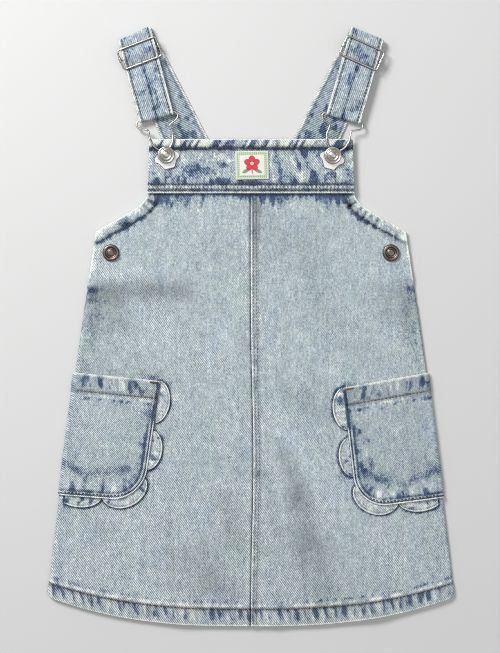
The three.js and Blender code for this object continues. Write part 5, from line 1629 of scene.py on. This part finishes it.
class SKIRT_OT_pockets(bpy.types.Operator):
    """Lay the patch pockets over their scallops"""
    bl_idname = "skirt.pockets"
    bl_label = "Pockets"

    def execute(self, context):
        for side in SIDES:
            denim = finish("pocket_denim")
            piece = cloth_piece(f"pocket_cloth_{side}", pocket_grid(side), DENIM, denim, "denim")
            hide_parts(f"pocket_{side}")
        return {"FINISHED"}


class SKIRT_OT_straps(bpy.types.Operator):
    """Fold the straps over the shoulders and thread them through their buckles"""
    bl_idname = "skirt.straps"
    bl_label = "Straps"

    def execute(self, context):
        for side in SIDES:
            piece = cloth_piece(f"strap_cloth_{side}", strap_grid(side), STRAP_CLOTH, finish("strap_denim"),
                                "denim", hidden_wear=None)
            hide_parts(f"strap_{side}")
        return {"FINISHED"}


class SKIRT_OT_label(bpy.types.Operator):
    """Put the woven label on the bib"""
    bl_idname = "skirt.label"
    bl_label = "Label"

    def execute(self, context):
        piece = cloth_piece("label_cloth", label_grid(), LABEL_CLOTH, finish("woven_label"), "label")
        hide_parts("label")
        return {"FINISHED"}


class SKIRT_OT_buckles(bpy.types.Operator):
    """Put the sliders, clips and clip plates on the straps"""
    bl_idname = "skirt.buckles"
    bl_label = "Buckles"

    def execute(self, context):
        for side in SIDES:
            length, lean = strap_line(side)
            slider_lean = math.radians(STRAPS[side][3])
            for name, (points, faces), down, turn in (
                    ("slider", slider_mesh(), SLIDER_DOWN, slider_lean), ("clip", clip_mesh(), length, lean),
                    ("clip_plate", plate_mesh(), length, lean)):
                metal = "pressed_nickel" if name == "clip_plate" else "polished_nickel"
                points = on_strap(points, side, down, turn)
                piece = new_piece(f"{name}_metal_{side}", points, faces, finish(metal), "buckle_metal",
                                  smooth_faces=name != "clip_plate")
                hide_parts(f"{name}_{side}")
        return {"FINISHED"}


class SKIRT_OT_buttons(bpy.types.Operator):
    """Put the buttons on the bib and at the side openings"""
    bl_idname = "skirt.buttons"
    bl_label = "Buttons"

    def execute(self, context):
        for side, sign in SIDES.items():
            button_x, button_y, _, _ = STRAPS[side]
            for name, (points, faces), x, y, metal, slot in (
                    ("bib_button", bib_button_mesh(), button_x, button_y, "polished_nickel", "buckle_metal"),
                    ("side_button", side_button_mesh(), SIDE_BUTTON_X, SIDE_BUTTON_Y, "antique_nickel",
                     "dark_button")):
                points = points + [sign * x, y, 0]
                piece = new_piece(f"{name}_metal_{side}", points, faces, finish(metal), slot)
                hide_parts(f"{name}_{side}")
        return {"FINISHED"}


class SKIRT_OT_sewing(bpy.types.Operator):
    """Sew every seam with its rows of stitches"""
    bl_idname = "skirt.sewing"
    bl_label = "Sewing"

    def execute(self, context):
        sewing = context.scene.overall_skirt.sewing
        pitch, length = sewing.pitch / MM, sewing.length / MM
        seams = [("bib_stitches", bib_rows(), *SEAM_SEWING),
                 ("centre_stitches", centre_rows(), *CENTRE_SEWING)]
        for side in SIDES:
            mouth, edge = pocket_rows(side)
            seams += [(f"front_stitches_{side}", front_rows(side), *SEAM_SEWING),
                      (f"pocket_stitches_{side}", [mouth], *POCKET_SEWING),
                      (f"patch_stitches_{side}", [edge], *SEAM_SEWING),
                      (f"strap_stitches_{side}", strap_rows(side), *SEAM_SEWING),
                      (f"pocket_tack_{side}", tack_rows(side), *TACK_SEWING)]
        seams += [(f"back_stitches_{side}", back_rows(side), *BACK_SEWING) for side in SIDES]
        for name, rows, thread, radius, sink in seams:
            points, faces = joined([stitch_row(*row, pitch, length, radius, sink) for row in rows])
            points[:, 2] = np.maximum(points[:, 2], LOWEST_STITCH)
            new_piece(name, points, faces, finish(thread), "denim")
        return {"FINISHED"}


class SKIRT_OT_stage(bpy.types.Operator):
    """Set up the pale floor, the soft studio light and the camera straight above"""
    bl_idname = "skirt.stage"
    bl_label = "Stage"

    def execute(self, context):
        scene, stage = context.scene, context.scene.overall_skirt.stage
        mesh = bpy.data.meshes.new("floor")
        reach, level = 3, -0.0004
        corners = ((-reach, -reach), (reach, -reach), (reach, reach), (-reach, reach))
        mesh.from_pydata([(x, y, level) for x, y in corners], [], [(0, 1, 2, 3)])
        floor = bpy.data.objects.new("floor", mesh)
        mesh.materials.append(finish("pale_floor"))
        scene.collection.objects.link(floor)

        for name, place, power, size in (("key", (-0.9, 1.05, 1.1), stage.key_power, 0.6),
                                         ("fill", (1.1, -0.4, 1.5), stage.key_power * 0.2, 1.4)):
            light = bpy.data.lights.new(name, "AREA")
            light.energy, light.size = power, size
            lamp = bpy.data.objects.new(name, light)
            lamp.location = place
            lamp.rotation_euler = aimed(place)
            scene.collection.objects.link(lamp)

        scene.world = room()

        camera = bpy.data.cameras.new("camera")
        camera.lens, camera.sensor_width, camera.clip_end = 100, 36, 20
        eye = bpy.data.objects.new("camera", camera)
        eye.location = (-0.0008, 0.0, stage.camera_height)
        scene.collection.objects.link(eye)
        scene.camera = eye
        scene.view_settings.view_transform = "Standard"
        scene.cycles.denoising_prefilter = "NONE"
        scene.cycles.filter_width = 1.0
        return {"FINISHED"}


def room():
    """A pale room for the metal to mirror: bright overhead and in a band above the horizon, dim between."""
    world = bpy.data.worlds.new("soft_room")
    world.use_nodes = True
    tree = world.node_tree
    direction = tree.nodes.new("ShaderNodeTexCoord").outputs["Generated"]
    parts = tree.nodes.new("ShaderNodeSeparateXYZ")
    ramp = tree.nodes.new("ShaderNodeValToRGB")
    tree.links.new(direction, parts.inputs[0])
    tree.links.new(parts.outputs["Z"], ramp.inputs[0])
    stops = ((0.0, 0.08), (0.16, 0.50), (0.38, 0.55), (0.50, 0.12), (0.76, 0.10), (0.9, 0.50), (1.0, 0.95))
    ramp.color_ramp.elements.remove(ramp.color_ramp.elements[1])
    for k, (place, value) in enumerate(stops):
        stop = ramp.color_ramp.elements[0] if k == 0 else ramp.color_ramp.elements.new(place)
        stop.position, stop.color = place, (value * 0.97, value * 0.985, value, 1)
    tree.links.new(ramp.outputs[0], tree.nodes["Background"].inputs[0])
    tree.nodes["Background"].inputs[1].default_value = 1.0
    return world


def aimed(place):
    """Angles that point a lamp at a place straight at the middle of the floor."""
    x, y, z = place
    return (math.atan2(math.hypot(x, y), z), 0.0, math.atan2(y, x) + math.pi / 2)


OPERATORS = (
    SKIRT_OT_stage, SKIRT_OT_backs, SKIRT_OT_fronts, SKIRT_OT_bib, SKIRT_OT_scallops, SKIRT_OT_pockets,
    SKIRT_OT_straps, SKIRT_OT_label, SKIRT_OT_buckles, SKIRT_OT_buttons, SKIRT_OT_sewing,
)


class SKIRT_PT_panel(bpy.types.Panel):
    """Lists the settings of the skirt and the steps that build it"""
    bl_idname = "SKIRT_PT_panel"
    bl_label = "Overall Skirt"
    bl_space_type = "VIEW_3D"
    bl_region_type = "UI"
    bl_category = "Overall Skirt"

    def draw(self, context):
        settings = context.scene.overall_skirt
        for group in (settings.cloth, settings.sewing, settings.label, settings.stage):
            box = self.layout.box()
            for name in group.__annotations__:
                box.prop(group, name)
        for operator in OPERATORS:
            self.layout.operator(operator.bl_idname)


CLASSES = (SkirtClothSettings, SkirtSewingSettings, SkirtLabelSettings, SkirtStageSettings, SkirtSettings,
           *OPERATORS, SKIRT_PT_panel)


def register():
    for made in CLASSES:
        bpy.utils.register_class(made)
    bpy.types.Scene.overall_skirt = bpy.props.PointerProperty(type=SkirtSettings)


def unregister():
    del bpy.types.Scene.overall_skirt
    for made in reversed(CLASSES):
        bpy.utils.unregister_class(made)


def main():
    register()
    for operator in OPERATORS:
        group, name = operator.bl_idname.split(".")
        getattr(getattr(bpy.ops, group), name)()


if __name__ == "__main__":
    main()
